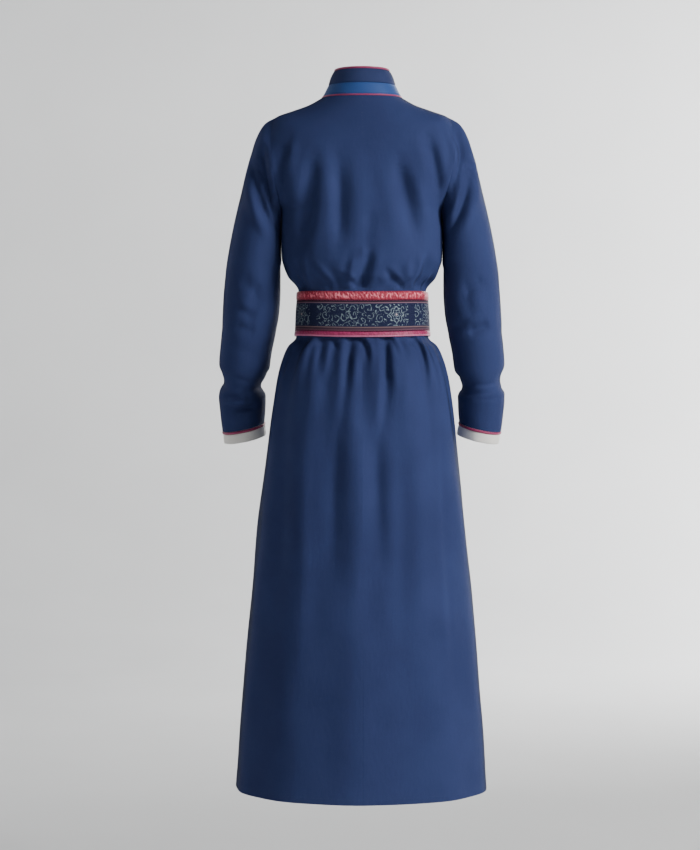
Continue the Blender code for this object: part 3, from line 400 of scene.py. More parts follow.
# %% [markdown]
# ## Small creases
# The gathers above are the large ones, and the solids have them too. Real cloth also breaks into
# narrow pleats where it is squeezed: short, uneven, some sharp and some soft. They are strongest
# at the belt and die out within a hand's width. The rows at the belt are drawn by a seeded
# generator, which spaces them unevenly the same way each time. The wrinkles over the wrist are
# listed one by one, because the photograph shows where they are.

# %% Pleats, wrist wrinkles and a soft unevenness
rng = np.random.default_rng(7)


def draw_pleats(apart, stray, width, deep, reach):
    """Column, width, depth and reach of each narrow pleat of a row, about so far apart."""
    return [
        (c + rng.uniform(-stray, stray), rng.uniform(*width), rng.uniform(*deep),
         rng.uniform(*reach))
        for c in np.arange(0, COLUMNS, apart)
    ]


PLEATS_UNDER = draw_pleats(0.92, 0.28, (0.16, 0.30), (0.0006, 0.0020), (0.030, 0.085))
PLEATS_OVER = draw_pleats(1.15, 0.30, (0.18, 0.32), (0.0005, 0.0017), (0.020, 0.050))
PLEATS_UNDER_LEVEL = -0.441
PLEATS_OVER_LEVEL = -0.3605
# Wrist and elbow: section, angle on the sleeve, spread, lean, width in sections, depth
WRIST_HEADS = ("section", "angle", "spread", "lean", "width", "depth")
WRIST = (
    (10.62, 80, 62, 0.20, 0.16, 0.0022),
    (11.10, 120, 70, -0.25, 0.14, 0.0026),
    (11.55, 60, 58, 0.30, 0.16, 0.0020),
    (12.35, 100, 55, -0.15, 0.20, 0.0014),
    (10.80, -70, 65, 0.25, 0.16, 0.0022),
    (11.35, -110, 72, -0.20, 0.15, 0.0026),
    (11.75, -60, 55, 0.15, 0.16, 0.0016),
    (10.20, 175, 48, 0.10, 0.18, 0.0020),
    (11.20, 180, 50, -0.12, 0.15, 0.0024),
    (11.30, 10, 45, 0.10, 0.15, 0.0018),
    (9.10, 95, 60, 0.35, 0.26, 0.0014),
    (8.05, -80, 75, 0.40, 0.24, 0.0026),
    (7.45, -95, 66, -0.30, 0.22, 0.0028),
    (7.00, 120, 50, 0.40, 0.24, 0.0014),
    (6.60, -60, 60, 0.30, 0.25, 0.0018),
    (4.60, 70, 46, 0.50, 0.30, 0.0012),
)
# Folds listed one by one, each a curve through three places as seen square on to its side: 1 is the
# back, -1 the front. They cross seams, as folds do. A negative depth is a ridge, and lean makes
# one bank of a fold steeper than the other.
FOLD_HEADS = ("side", "x0", "z0", "x1", "z1", "x2", "z2", "width", "lean", "depth")
FOLDS = (
    (1, 0.182, -0.080, 0.177, -0.154, 0.147, -0.281, 0.0100, 0.3, 0.0140),
    (1, 0.205, -0.099, 0.190, -0.188, 0.151, -0.259, 0.0080, 0.2, 0.0090),
    (1, 0.193, -0.095, 0.186, -0.162, 0.153, -0.247, 0.0050, 0.0, -0.0025),
    (1, 0.138, -0.095, 0.145, -0.143, 0.147, -0.195, 0.0090, 0.0, 0.0020),
    (1, 0.110, -0.065, 0.134, -0.117, 0.145, -0.180, 0.0090, 0.0, -0.0024),
    (1, 0.089, -0.095, 0.097, -0.214, 0.126, -0.322, 0.0150, 0.1, 0.0075),
    (1, 0.071, -0.087, 0.082, -0.188, 0.099, -0.314, 0.0110, 0.0, -0.0030),
    (1, 0.048, -0.087, 0.039, -0.195, 0.048, -0.322, 0.0130, -0.2, 0.0054),
    (1, -0.153, -0.054, -0.182, -0.113, -0.151, -0.195, 0.0095, -0.3, 0.0140),
    (1, -0.206, -0.106, -0.186, -0.195, -0.153, -0.262, 0.0080, -0.2, 0.0100),
    (1, -0.110, -0.061, -0.134, -0.143, -0.141, -0.270, 0.0100, 0.1, 0.0054),
    (1, -0.063, -0.099, -0.078, -0.195, -0.108, -0.303, 0.0140, 0.1, 0.0056),
    (1, -0.093, -0.128, -0.108, -0.199, -0.126, -0.262, 0.0090, 0.0, -0.0024),
    (1, -0.017, -0.277, -0.007, -0.314, 0.006, -0.353, 0.0075, -0.2, 0.0070),
    (1, 0.007, -0.285, 0.019, -0.322, 0.024, -0.352, 0.0060, 0.0, -0.0032),
    (1, -0.037, -0.322, -0.052, -0.335, -0.069, -0.352, 0.0060, 0.3, 0.0046),
    (1, -0.113, -0.286, -0.117, -0.318, -0.104, -0.353, 0.0075, -0.2, 0.0080),
    (1, -0.082, -0.303, -0.084, -0.327, -0.084, -0.352, 0.0070, 0.0, -0.0030),
    (1, 0.060, -0.335, 0.033, -0.339, 0.013, -0.353, 0.0055, 0.3, 0.0042),
    (1, 0.099, -0.311, 0.082, -0.331, 0.061, -0.353, 0.0065, 0.2, 0.0046),
    (1, 0.117, -0.292, 0.113, -0.326, 0.102, -0.353, 0.0065, 0.2, 0.0044),
    (1, -0.140, -0.296, -0.128, -0.326, -0.119, -0.353, 0.0060, 0.0, 0.0040),
    (1, 0.110, -0.448, 0.130, -0.489, 0.143, -0.567, 0.0080, -0.2, 0.0060),
    (1, 0.102, -0.448, 0.117, -0.467, 0.128, -0.508, 0.0055, -0.2, 0.0042),
    (1, 0.067, -0.448, 0.078, -0.478, 0.087, -0.545, 0.0065, -0.2, 0.0048),
    (1, 0.017, -0.448, 0.026, -0.500, 0.039, -0.645, 0.0080, -0.2, 0.0075),
    (1, 0.058, -0.448, 0.050, -0.459, 0.045, -0.482, 0.0045, 0.0, 0.0036),
    (1, 0.006, -0.448, -0.009, -0.474, -0.004, -0.508, 0.0050, 0.2, 0.0050),
    (1, -0.041, -0.448, -0.043, -0.523, -0.030, -0.657, 0.0070, -0.2, 0.0075),
    (1, -0.050, -0.448, -0.061, -0.467, -0.071, -0.497, 0.0045, 0.2, 0.0036),
    (1, -0.095, -0.448, -0.112, -0.482, -0.117, -0.552, 0.0055, 0.3, 0.0056),
    (1, -0.130, -0.448, -0.151, -0.485, -0.162, -0.556, 0.0075, 0.2, 0.0050),
    (1, 0.063, -0.456, 0.063, -0.478, 0.069, -0.534, 0.0060, 0.0, -0.0030),
    (1, 0.015, -0.456, 0.013, -0.493, 0.017, -0.560, 0.0065, 0.0, -0.0034),
    (1, -0.046, -0.456, -0.050, -0.489, -0.061, -0.545, 0.0060, 0.0, -0.0030),
    (1, -0.078, -0.456, -0.082, -0.508, -0.074, -0.597, 0.0100, 0.0, -0.0024),
    (1, 0.035, -0.523, 0.048, -0.690, 0.054, -0.932, 0.0130, 0.0, 0.0058),
    (1, -0.033, -0.560, -0.028, -0.709, -0.039, -0.913, 0.0120, 0.0, 0.0052),
    (1, 0.009, -0.560, 0.006, -0.709, 0.015, -1.006, 0.0120, 0.0, -0.0036),
    (1, 0.104, -0.597, 0.106, -0.820, 0.115, -1.099, 0.0150, 0.0, -0.0028),
    (1, 0.141, -0.541, 0.145, -0.746, 0.158, -1.043, 0.0110, 0.0, 0.0028),
    (1, -0.080, -0.597, -0.071, -0.820, -0.074, -1.099, 0.0150, 0.0, 0.0024),
    (1, -0.132, -0.545, -0.140, -0.783, -0.162, -1.159, 0.0080, 0.4, -0.0028),
    (-1, 0.171, -0.091, 0.179, -0.151, 0.151, -0.247, 0.0065, 0.2, 0.0064),
    (-1, 0.138, -0.095, 0.145, -0.143, 0.149, -0.195, 0.0090, 0.0, 0.0036),
    (-1, -0.164, -0.080, -0.182, -0.125, -0.158, -0.199, 0.0065, -0.2, 0.0064),
    (-1, -0.119, -0.095, -0.134, -0.151, -0.141, -0.214, 0.0090, 0.0, 0.0036),
    (-1, 0.082, -0.136, 0.089, -0.214, 0.115, -0.292, 0.0130, 0.1, 0.0050),
    (-1, 0.033, -0.169, 0.030, -0.233, 0.037, -0.303, 0.0120, 0.0, 0.0034),
    (-1, -0.071, -0.128, -0.086, -0.206, -0.115, -0.285, 0.0130, 0.1, 0.0050),
    (-1, 0.019, -0.281, 0.009, -0.318, -0.002, -0.352, 0.0070, 0.3, 0.0056),
    (-1, 0.108, -0.299, 0.095, -0.329, 0.084, -0.352, 0.0065, 0.2, 0.0048),
    (-1, -0.056, -0.296, -0.045, -0.327, -0.033, -0.352, 0.0065, -0.2, 0.0052),
    (-1, -0.119, -0.296, -0.108, -0.329, -0.097, -0.352, 0.0060, 0.0, 0.0044),
    (-1, 0.063, -0.322, 0.048, -0.339, 0.033, -0.352, 0.0055, 0.0, 0.0038),
    (-1, 0.104, -0.448, 0.117, -0.497, 0.132, -0.578, 0.0070, -0.3, 0.0056),
    (-1, 0.067, -0.448, 0.076, -0.515, 0.086, -0.627, 0.0065, 0.2, 0.0052),
    (-1, 0.028, -0.448, 0.024, -0.485, 0.019, -0.545, 0.0050, 0.0, 0.0040),
    (-1, -0.007, -0.448, -0.013, -0.519, -0.009, -0.657, 0.0065, 0.3, 0.0058),
    (-1, -0.048, -0.448, -0.056, -0.497, -0.063, -0.582, 0.0055, 0.0, 0.0044),
    (-1, -0.086, -0.448, -0.097, -0.500, -0.106, -0.593, 0.0065, 0.3, 0.0054),
    (-1, -0.123, -0.448, -0.138, -0.489, -0.153, -0.560, 0.0065, 0.2, 0.0046),
    (-1, 0.011, -0.485, 0.019, -0.634, 0.022, -0.857, 0.0130, 0.0, -0.0032),
    (-1, 0.074, -0.597, 0.086, -0.746, 0.093, -1.006, 0.0130, 0.0, 0.0038),
    (-1, -0.015, -0.616, -0.011, -0.783, -0.022, -0.969, 0.0120, 0.0, 0.0036),
    (-1, 0.115, -0.597, 0.130, -0.820, 0.145, -1.099, 0.0140, 0.0, -0.0028),
    (-1, -0.115, -0.578, -0.134, -0.820, -0.145, -1.118, 0.0140, 0.0, -0.0028),
    (-1, -0.056, -0.616, -0.067, -0.857, -0.074, -1.099, 0.0130, 0.0, 0.0026),
    (1, 0.266, -0.556, 0.242, -0.552, 0.216, -0.560, 0.0045, 0.2, 0.0055),
    (1, 0.216, -0.530, 0.206, -0.545, 0.208, -0.558, 0.0080, 0.0, -0.0032),
    (1, 0.262, -0.565, 0.236, -0.564, 0.205, -0.560, 0.0040, 0.0, -0.0034),
    (1, 0.255, -0.573, 0.225, -0.575, 0.186, -0.564, 0.0040, 0.2, 0.0080),
    (1, 0.247, -0.578, 0.240, -0.586, 0.233, -0.595, 0.0045, 0.0, 0.0018),
    (-1, 0.257, -0.558, 0.227, -0.554, 0.197, -0.564, 0.0045, 0.2, 0.0036),
    (-1, 0.249, -0.571, 0.223, -0.577, 0.193, -0.567, 0.0040, 0.2, 0.0040),
    (1, 0.249, -0.366, 0.219, -0.396, 0.186, -0.407, 0.0080, 0.3, 0.0026),
    (1, 0.186, -0.340, 0.197, -0.385, 0.219, -0.430, 0.0100, 0.0, 0.0024),
    (1, -0.201, -0.322, -0.193, -0.374, -0.216, -0.422, 0.0100, 0.0, 0.0024),
    (1, -0.242, -0.404, -0.216, -0.430, -0.186, -0.437, 0.0080, 0.3, 0.0026),
    (-1, 0.242, -0.374, 0.216, -0.400, 0.186, -0.411, 0.0080, 0.3, 0.0026),
    (-1, -0.238, -0.385, -0.212, -0.407, -0.186, -0.415, 0.0080, 0.3, 0.0026),
)
FOLD_STEPS = 48
FOLDS_START = -0.448  # folds that start or end at the belt keep their full depth there
FOLDS_END = -0.353
# Levels between which the belt covers the cloth, where it lies flat: each edge is a soft change
COVERED_TOP = (-0.3600, -0.3540)
COVERED_FOOT = (-0.4465, -0.4410)
# Slow unevenness of hanging cloth: turns round the body, waves per metre down it, phase, size
SWAY = (
    (5, 2.1, 0.3, 0.00045),
    (7, -3.4, 1.9, 0.00040),
    (11, 4.6, 4.0, 0.00028),
    (13, -6.2, 2.6, 0.00022),
)


def pleat_depth(column, z):
    """Depth of the narrow pleats on both sides of the belt, faint where the listed folds lie."""
    depth = np.zeros(len(column))
    both = ((PLEATS_UNDER, PLEATS_UNDER_LEVEL - z), (PLEATS_OVER, z - PLEATS_OVER_LEVEL))
    for pleats, away in both:
        for c, width, deep, reach in pleats:
            t = np.clip(away / reach, -0.3, 1)
            strength = ease(-0.3, 0.15, t) * (1 - ease(0.2, 1, t))
            depth += deep * strength * np.exp(-((across(column, c) / width) ** 2))
    behind = 1 - ease(7.5, 10.5, np.abs(across(column, 0.0)))
    return depth * (1 - 0.72 * behind)


def sway_depth(column, z):
    """Slow unevenness, less over the shoulders and the belt."""
    turn = 2 * math.pi * column / COLUMNS
    total = np.zeros(len(column))
    for turns, waves, phase, size in SWAY:
        total += size * np.sin(turns * turn + 2 * math.pi * waves * z + phase)
    calm = ease(0.03, 0.10, np.abs(z + 0.40)) * ease(0.10, 0.22, -z)
    return total * calm


def fold_depth(points, facing):
    """Depth of the listed folds; each trough pushes up a low bank on both sides."""
    depth = np.zeros(len(points))
    plane = points[:, [0, 2]]
    for side, x0, z0, x1, z1, x2, z2, width, lean, deep in FOLDS:
        knots = np.array([[x0, z0], [x1, z1], [x2, z2]])
        reach = 6 * width
        near = (plane > knots.min(axis=0) - reach).all(axis=1)
        near &= (plane < knots.max(axis=0) + reach).all(axis=1) & (facing * side > 0)
        ids = np.flatnonzero(near)
        if not len(ids):
            continue
        path = bend(knots, FOLD_STEPS)
        away = plane[ids][:, None, :] - path[None]
        gap = np.linalg.norm(away, axis=2)
        k = gap.argmin(axis=1)
        rows = np.arange(len(ids))
        way = np.gradient(path, axis=0)[k]
        hand = np.sign(way[:, 0] * away[rows, k, 1] - way[:, 1] * away[rows, k, 0])
        d = gap[rows, k] / (width * (1 + lean * hand))
        along = k / FOLD_STEPS
        at_belt_start = abs(z0 - FOLDS_START) < 0.004
        at_belt_end = abs(z2 - FOLDS_END) < 0.006
        start = 1.0 if at_belt_start else ease(0, 0.45, along)
        finish = 1.0 if at_belt_end else ease(0, 0.60 if at_belt_start else 0.40, 1 - along)
        body = start * finish
        seen = ease(0.05, 0.35, facing[ids] * side)
        profile = np.exp(-(d**2)) - 0.38 * np.exp(-(((d - 2.1) / 1.0) ** 2))
        depth[ids] += deep * body * seen * profile
    return depth


def wrist_depth(section_row, angle, flip):
    """Depth of the wrinkles at a sleeve's sections; flip varies one sleeve from the other."""
    depth = np.zeros(np.broadcast(section_row, angle).shape)
    for at, middle, spread, lean, width, deep in WRIST:
        off = np.degrees(angle) - middle * flip
        off = (off + 180) % 360 - 180
        row = at + 0.12 * (1 - flip) + lean * flip * off / 90
        depth += deep * np.exp(-(((section_row - row) / width) ** 2)) * np.exp(-((off / spread) ** 2))
    return depth


print("narrow pleats:", len(PLEATS_UNDER) + len(PLEATS_OVER), " wrinkles a sleeve:", len(WRIST))

# %% [markdown]
# ## One surface for the whole robe
# The body is made as one sheet first, with the sleeves growing out of the armholes' own points,
# and it is cut into its pieces afterwards. That way two pieces that are sewn together share
# their edge exactly, and a fold that crosses a seam carries on across it, as it does in a sewn
# garment. The wrap's slanted edge runs one column over for each section down, so it follows the
# grid and stays a clean line.

# %% Body and sleeves as one sheet
PARTS_OF_ROW = [FINE] * UNDERARM_ROW + [7, 7, 7, 7, 9] + [3, 3] + [6, 6, 7, 9, 12, 18, 24, 26]
ROW = np.concatenate(
    [np.arange(r, r + 1, 1 / n)[:n] for r, n in enumerate(PARTS_OF_ROW)] + [[float(HEM_ROW)]]
)
COL = np.arange(COLUMNS * FINE) / FINE
NR = len(ROW)
NC = len(COL)
grid_row = np.repeat(ROW, NC)
grid_col = np.tile(COL, NR)
body_flat = body_base(grid_row, grid_col)
cell_i, cell_j = np.meshgrid(np.arange(NR - 1), np.arange(NC), indexing="ij")
cell_i = cell_i.ravel()
cell_j = cell_j.ravel()
cell_row = ROW[cell_i]
cell_col = COL[cell_j]
TINY = 1e-6
in_arm = (cell_row >= TIP_ROW - TINY) & (cell_row < UNDERARM_ROW - TINY)
for side in (QUARTER, 3 * QUARTER):
    beside = (cell_col >= side - 1 - TINY) & (cell_col < side + 1 - TINY)
    keep = ~(in_arm & beside)
    cell_i, cell_j, cell_row, cell_col, in_arm = (
        cell_i[keep], cell_j[keep], cell_row[keep], cell_col[keep], in_arm[keep]
    )


def body_id(i, j):
    """Point number at a row and a column of the fine grid."""
    return i * NC + j % NC


body_quads = np.stack(
    [body_id(cell_i, cell_j), body_id(cell_i, cell_j + 1),
     body_id(cell_i + 1, cell_j + 1), body_id(cell_i + 1, cell_j)], axis=1
)


def quad_normals(points, quads):
    """Normal at each point, from the quads round it."""
    p = points[quads]
    area = np.cross(p[:, 2] - p[:, 0], p[:, 3] - p[:, 1])
    total = np.zeros_like(points)
    for k in range(4):
        np.add.at(total, quads[:, k], area)
    return unit(total)


def folded_body():
    """The fine body with its creases, gathers, pleats and waves."""
    n = quad_normals(body_flat, body_quads)
    z = body_flat[:, 2]
    depth = crease_depth(BODY_CREASES, body_flat, n[:, 1])
    depth *= (1 - ease(BELT_TOP_ROW - 1.6, BELT_TOP_ROW - 0.6, grid_row)) * ease(0.5, 2.5, grid_row)
    near = np.minimum(np.abs(across(grid_col, QUARTER)), np.abs(across(grid_col, 3 * QUARTER)))
    beside_arm = (grid_row >= TIP_ROW) & (grid_row <= UNDERARM_ROW + 2)
    depth = np.where(beside_arm, depth * ease(0.5, 3.0, near), depth)
    depth += gather_depth(grid_col, z) + pleat_depth(grid_col, z) + sway_depth(grid_col, z)
    depth -= wave_height(grid_col, z)
    return body_flat - n * depth[:, None]


body_points = folded_body()
row_of = {round(float(r), 4): i for i, r in enumerate(ROW)}


def arm_loop(left):
    """Point numbers round an armhole: tip, down the back, underarm, up the front."""
    side = QUARTER if left else 3 * QUARTER
    step = -1 if left else 1
    tip = row_of[float(TIP_ROW)]
    low = row_of[float(UNDERARM_ROW)]
    mid = side * FINE
    loop = [body_id(tip, mid + step * k) for k in range(FINE)]
    loop += [body_id(i, mid + step * FINE) for i in range(tip, low)]
    loop += [body_id(low, mid + step * k) for k in range(FINE, -FINE, -1)]
    loop += [body_id(i, mid - step * FINE) for i in range(low, tip, -1)]
    loop += [body_id(tip, mid - step * k) for k in range(FINE, 0, -1)]
    return np.array(loop)


def loop_angles(points, low):
    """Angle of each point of an armhole, by its share of the way down the back or the front."""
    step = np.linalg.norm(np.roll(points, -1, axis=0) - points, axis=1)
    along = np.concatenate([[0], np.cumsum(step)])
    down = math.pi * along[:low] / along[low]
    up = math.pi + math.pi * (along[low:-1] - along[low]) / (along[-1] - along[low])
    return np.concatenate([down, up])


def sleeve_grid(row, alpha, mirror):
    """Points of sleeve rings; alpha is 0 at the outer line and 90 degrees at the back."""
    row = row[:, None]
    alpha = alpha[None, :]
    depth = sleeve_at("half_depth", row)
    tilt = np.radians(sleeve_at("tilt", row))
    side = depth * np.sin(alpha)
    reach_x = (sleeve_at("outer_x", row) - sleeve_at("inner_x", row)) / 2
    reach_z = (sleeve_at("outer_z", row) - sleeve_at("inner_z", row)) / 2
    x = (sleeve_at("outer_x", row) + sleeve_at("inner_x", row)) / 2 + reach_x * np.cos(alpha)
    y = sleeve_at("mid_y", row) + side * np.cos(tilt)
    z = (sleeve_at("outer_z", row) + sleeve_at("inner_z", row)) / 2 + reach_z * np.cos(alpha)
    return np.stack([x * mirror, y, z - side * np.sin(tilt)], axis=-1)


SLEEVE_PART = 10
SLEEVE_ROW = np.arange((len(SLEEVE) - 1) * SLEEVE_PART + 1) / SLEEVE_PART


def make_sleeve(left, start):
    """Points, quads and ring numbers of a sleeve; ring 0 is the armhole's own points."""
    mirror = 1 if left else -1
    loop = arm_loop(left)
    held = body_points[loop]
    low = FINE + (row_of[float(UNDERARM_ROW)] - row_of[float(TIP_ROW)]) + FINE
    angle = loop_angles(held, low)
    base = sleeve_grid(SLEEVE_ROW, angle, mirror)
    fade = (1 - ease(0, 3.2, SLEEVE_ROW))[:, None, None]
    rings = base + (held - base[0])[None] * fade
    count = len(loop)
    number = start + np.arange((len(SLEEVE_ROW) - 1) * count).reshape(-1, count)
    number = np.concatenate([loop[None], number])
    a = number[:-1]
    b = number[1:]
    quads = np.stack([a, b, np.roll(b, -1, axis=1), np.roll(a, -1, axis=1)], axis=-1).reshape(-1, 4)
    if not left:
        quads = quads[:, ::-1]
    return rings, quads, number, angle


left_rings, left_quads, left_number, left_angle = make_sleeve(True, len(body_points))
right_start = len(body_points) + (len(SLEEVE_ROW) - 1) * len(left_angle)
right_rings, right_quads, right_number, right_angle = make_sleeve(False, right_start)
points = np.concatenate([body_points, left_rings[1:].reshape(-1, 3), right_rings[1:].reshape(-1, 3)])
all_quads = np.concatenate([body_quads, left_quads, right_quads])
shared = quad_normals(points, all_quads)


def fold_sleeve(number, angle, mirror):
    """Moves a sleeve's points by its creases and its wrist wrinkles."""
    rows = np.repeat(SLEEVE_ROW[1:], len(angle))
    turn = np.tile(angle, len(SLEEVE_ROW) - 1)
    ids = number[1:].ravel()
    p = points[ids]
    n = shared[ids]
    open_side = ease(0.0, 0.5, 1 + n[:, 0] * mirror)
    depth = crease_depth(SLEEVE_CREASES, p, n[:, 1], mirror) * open_side
    depth *= ease(0.3, 2.0, rows)
    depth += wrist_depth(rows, turn, mirror) * ease(0.2, 0.7, 1 + n[:, 0] * mirror + ease(7, 9, rows))
    depth += 0.0005 * np.sin(3 * turn + 1.7 * rows) * ease(1, 4, rows) * open_side
    points[ids] = p - n * depth[:, None]


fold_sleeve(left_number, left_angle, 1)
fold_sleeve(right_number, right_angle, -1)
shared = quad_normals(points, all_quads)
depth = fold_depth(points, shared[:, 1])
on_body = np.zeros(len(points), bool)
on_body[: len(body_points)] = True
level_of = points[:, 2]
clear_of_belt = ease(*COVERED_TOP, level_of) + (1 - ease(*COVERED_FOOT, level_of))
depth *= np.where(on_body, np.clip(clear_of_belt, 0, 1), 1.0)
square_on = np.stack([np.zeros(len(points)), np.sign(shared[:, 1]), np.zeros(len(points))], axis=1)
points -= unit(shared * 0.35 + square_on * 0.65) * depth[:, None]


def lean_sleeve(number, mirror, low):
    """Brings a sleeve and the side of the body almost together, down to a level."""
    n = quad_normals(points, all_quads)[:, 0] * mirror
    ids = np.unique(number[1:])
    side = np.flatnonzero(on_body & (n > 0.1) & (points[:, 0] * mirror > 0.1))
    level = np.arange(-0.330, -0.215, 0.005)
    apart = []
    for z in level:
        arm = ids[np.abs(points[ids, 2] - z) < 0.004]
        trunk = side[np.abs(points[side, 2] - z) < 0.004]
        apart.append((points[arm, 0] * mirror).min() - (points[trunk, 0] * mirror).max())
    shut = np.clip(np.array(apart) - 0.0005, 0, 0.0050)
    shut *= ease(low - 0.016, low, level) * (1 - ease(-0.232, -0.222, level))
    arm_share = ease(-0.1, 0.8, -n[ids]) * np.interp(points[ids, 2], level, shut, 0, 0)
    side_share = ease(0.2, 0.9, n[side]) * np.interp(points[side, 2], level, shut, 0, 0)
    points[ids, 0] -= mirror * 0.55 * arm_share
    points[side, 0] += mirror * 0.45 * side_share


lean_sleeve(left_number, 1, -0.297)
lean_sleeve(right_number, -1, -0.300)
shared = quad_normals(points, all_quads)
print("points on the sheet:", len(points), " quads:", len(all_quads))

# %% [markdown]
# ## Cutting the sheet into pieces
# Each piece is a wall: the sheet's own points outside, the same points moved in by the cloth's
# thickness inside, and a narrow rim between. Along a deep fold, such as the armhole, the two
# sides turn away from each other, so each piece uses its own slope there. A second set of
# numbers goes with each point: how far round the cloth and how far down it is, in metres. The
# weave follows those numbers, so it runs down the grain of each piece.

# %% Pieces of cloth


def rim_of(faces):
    """Directed edges that only one face uses."""
    a = np.concatenate([faces[:, k] for k in range(faces.shape[1])])
    b = np.concatenate([faces[:, (k + 1) % faces.shape[1]] for k in range(faces.shape[1])])
    good = a != b
    a = a[good]
    b = b[good]
    big = int(max(a.max(), b.max())) + 1
    lone = ~np.isin(a * big + b, b * big + a)
    return np.stack([a[lone], b[lone]], axis=1)


def drawn_in(pts, normals, faces, amount):
    """The sheet with its free edge drawn in by the amount."""
    moved = pts.copy()
    rim = rim_of(faces)
    way = unit(np.cross(normals[rim[:, 0]], pts[rim[:, 1]] - pts[rim[:, 0]]))
    total = np.zeros_like(pts)
    np.add.at(total, rim[:, 0], way)
    np.add.at(total, rim[:, 1], way)
    on_rim = np.unique(rim)
    moved[on_rim] = pts[on_rim] + unit(total[on_rim]) * amount
    return moved


def new_mesh(name, verts, faces, uv=None):
    """A mesh object from points and faces, with a map in metres called cloth."""
    mesh = bpy.data.meshes.new(name)
    mesh.from_pydata(np.asarray(verts).tolist(), [], [tuple(int(v) for v in f) for f in faces])
    if uv is not None:
        layer = mesh.uv_layers.new(name="cloth")
        corner = np.zeros(len(mesh.loops), np.int32)
        mesh.loops.foreach_get("vertex_index", corner)
        layer.data.foreach_set("uv", np.asarray(uv, np.float32)[corner].ravel())
    mesh.shade_smooth()
    mesh.update()
    made = bpy.data.objects.new(name, mesh)
    bpy.context.scene.collection.objects.link(made)
    return made


def mark_rim(made, rim, count):
    """Keeps the edge of the cloth crisp, so that no light line shows where two pieces meet."""
    ends = np.zeros(len(made.data.edges) * 2, np.int32)
    made.data.edges.foreach_get("vertices", ends)
    ends = ends.reshape(-1, 2)
    keys = set(map(tuple, np.sort(rim, axis=1).tolist()))
    keys |= set(map(tuple, (np.sort(rim, axis=1) + count).tolist()))
    sharp = [tuple(sorted(e)) in keys for e in ends.tolist()]
    layer = made.data.attributes.new("sharp_edge", "BOOLEAN", "EDGE")
    layer.data.foreach_set("value", sharp)


def cloth_piece(name, pts, faces, wall, uv):
    """A sheet with a thickness, from triangles or quads of the whole surface."""
    used, local = np.unique(faces, return_inverse=True)
    local = local.reshape(faces.shape)
    own = np.zeros_like(pts)
    corner = pts[faces]
    area = np.cross(corner[:, 2] - corner[:, 0], corner[:, -1] - corner[:, 1])
    for k in range(faces.shape[1]):
        np.add.at(own, faces[:, k], area)
    own = unit(own)[used]
    both = shared[used]
    weight = ease(0.80, 0.97, (own * both).sum(axis=1))[:, None]
    n = unit(own * (1 - weight) + both * weight)
    top = drawn_in(pts[used], n, local, SEAM)
    low = top - n * wall
    count = len(used)
    rim = rim_of(local)
    walls = np.stack([rim[:, 1], rim[:, 0], rim[:, 0] + count, rim[:, 1] + count], axis=1)
    faces_out = [tuple(dict.fromkeys(f)) for f in local.tolist()]
    faces_in = [tuple(v + count for v in reversed(f)) for f in faces_out]
    here = uv[used]
    made = new_mesh(
        name, np.concatenate([top, low]), faces_out + faces_in + walls.tolist(),
        np.concatenate([here, here]),
    )
    mark_rim(made, rim, count)
    # the front pieces keep their distance from the wrap's edge, which places the painted shade along it
    if name.startswith("front"):
        layer = made.data.attributes.new("wrap", "FLOAT", "POINT")
        layer.data.foreach_set("value", np.tile(edge_gap[used], 2))
    return made


def body_uv():
    """Metres round and down the cloth at each point of the body and the sleeves."""
    turn = (grid_col + QUARTER) % COLUMNS - QUARTER
    uv = np.stack([turn * 0.0185, -grid_row * 0], axis=1)
    down = np.zeros((NR, NC))
    p = body_points.reshape(NR, NC, 3)
    step = np.linalg.norm(np.diff(p, axis=0), axis=2)
    down[1:] = np.cumsum(step.mean(axis=1))[:, None]
    uv[:, 1] = -down.ravel()
    parts = [uv]
    for number, angle in ((left_number, left_angle), (right_number, right_angle)):
        ring = points[number]
        ring_gap = np.linalg.norm(np.diff(ring, axis=0), axis=2).mean(axis=1)
        length = np.concatenate([[0], np.cumsum(ring_gap)])
        wide = (angle - math.pi) * 0.052
        wide = np.where(angle < 1e-6, -math.pi * 0.052, wide)
        pair = np.stack(np.broadcast_arrays(wide[None, :], -length[1:, None]), axis=-1)
        parts.append(pair.reshape(-1, 2))
    return np.concatenate(parts)


uv = body_uv()
diag = cell_j - 2 * QUARTER * FINE
FLAP = 3 * QUARTER - 2
INNER_EDGE = 22
front = (cell_col >= QUARTER - 1e-6) & (cell_col < 3 * QUARTER - 1e-6)
upper = cell_i < UNDERARM_ROW * FINE
flap_j = (FLAP - 2 * QUARTER) * FINE
outer_full = front & (diag < np.where(upper, np.minimum(cell_i, flap_j), flap_j))
outer_half = front & upper & (diag == cell_i) & (diag < flap_j)
inner_j = (INNER_EDGE - 2 * QUARTER) * FINE
inner_full = front & (diag >= np.where(upper, np.maximum(-cell_i, inner_j), inner_j))
inner_half = front & upper & (diag == -cell_i - 1) & (diag >= inner_j)


def with_halves(full, half, upper_half):
    """Quads, and the half quads along a slanted edge as quads with a doubled corner."""
    q = body_quads[half]
    if upper_half:
        t = q[:, [0, 2, 3, 3]]
    else:
        t = q[:, [1, 2, 3, 3]]
    return np.concatenate([body_quads[full], t])


def wrap_gap(row, column):
    """How far inside the wrap's edge a point is, in columns; less than nothing is outside."""
    return np.minimum(row, FLAP - 2 * QUARTER) + 2 * QUARTER - column


def edge_roll(row, column):
    """The turned edge of the wrap: a narrow roll at the edge, and a dent under its stitches."""
    inside = wrap_gap(row, column)
    roll = 0.0013 * np.exp(-(((inside - 0.17) / 0.09) ** 2))
    dent = 0.0004 * np.exp(-(((inside - 0.36) / 0.08) ** 2))
    open_air = 1 - ease(BELT_TOP_ROW - 1, BELT_TOP_ROW - 0.4, row) * (
        1 - ease(BELT_LOW_ROW + 0.3, BELT_LOW_ROW + 1.2, row)
    )
    return (roll - dent) * open_air * ease(0.3, 1.5, row)


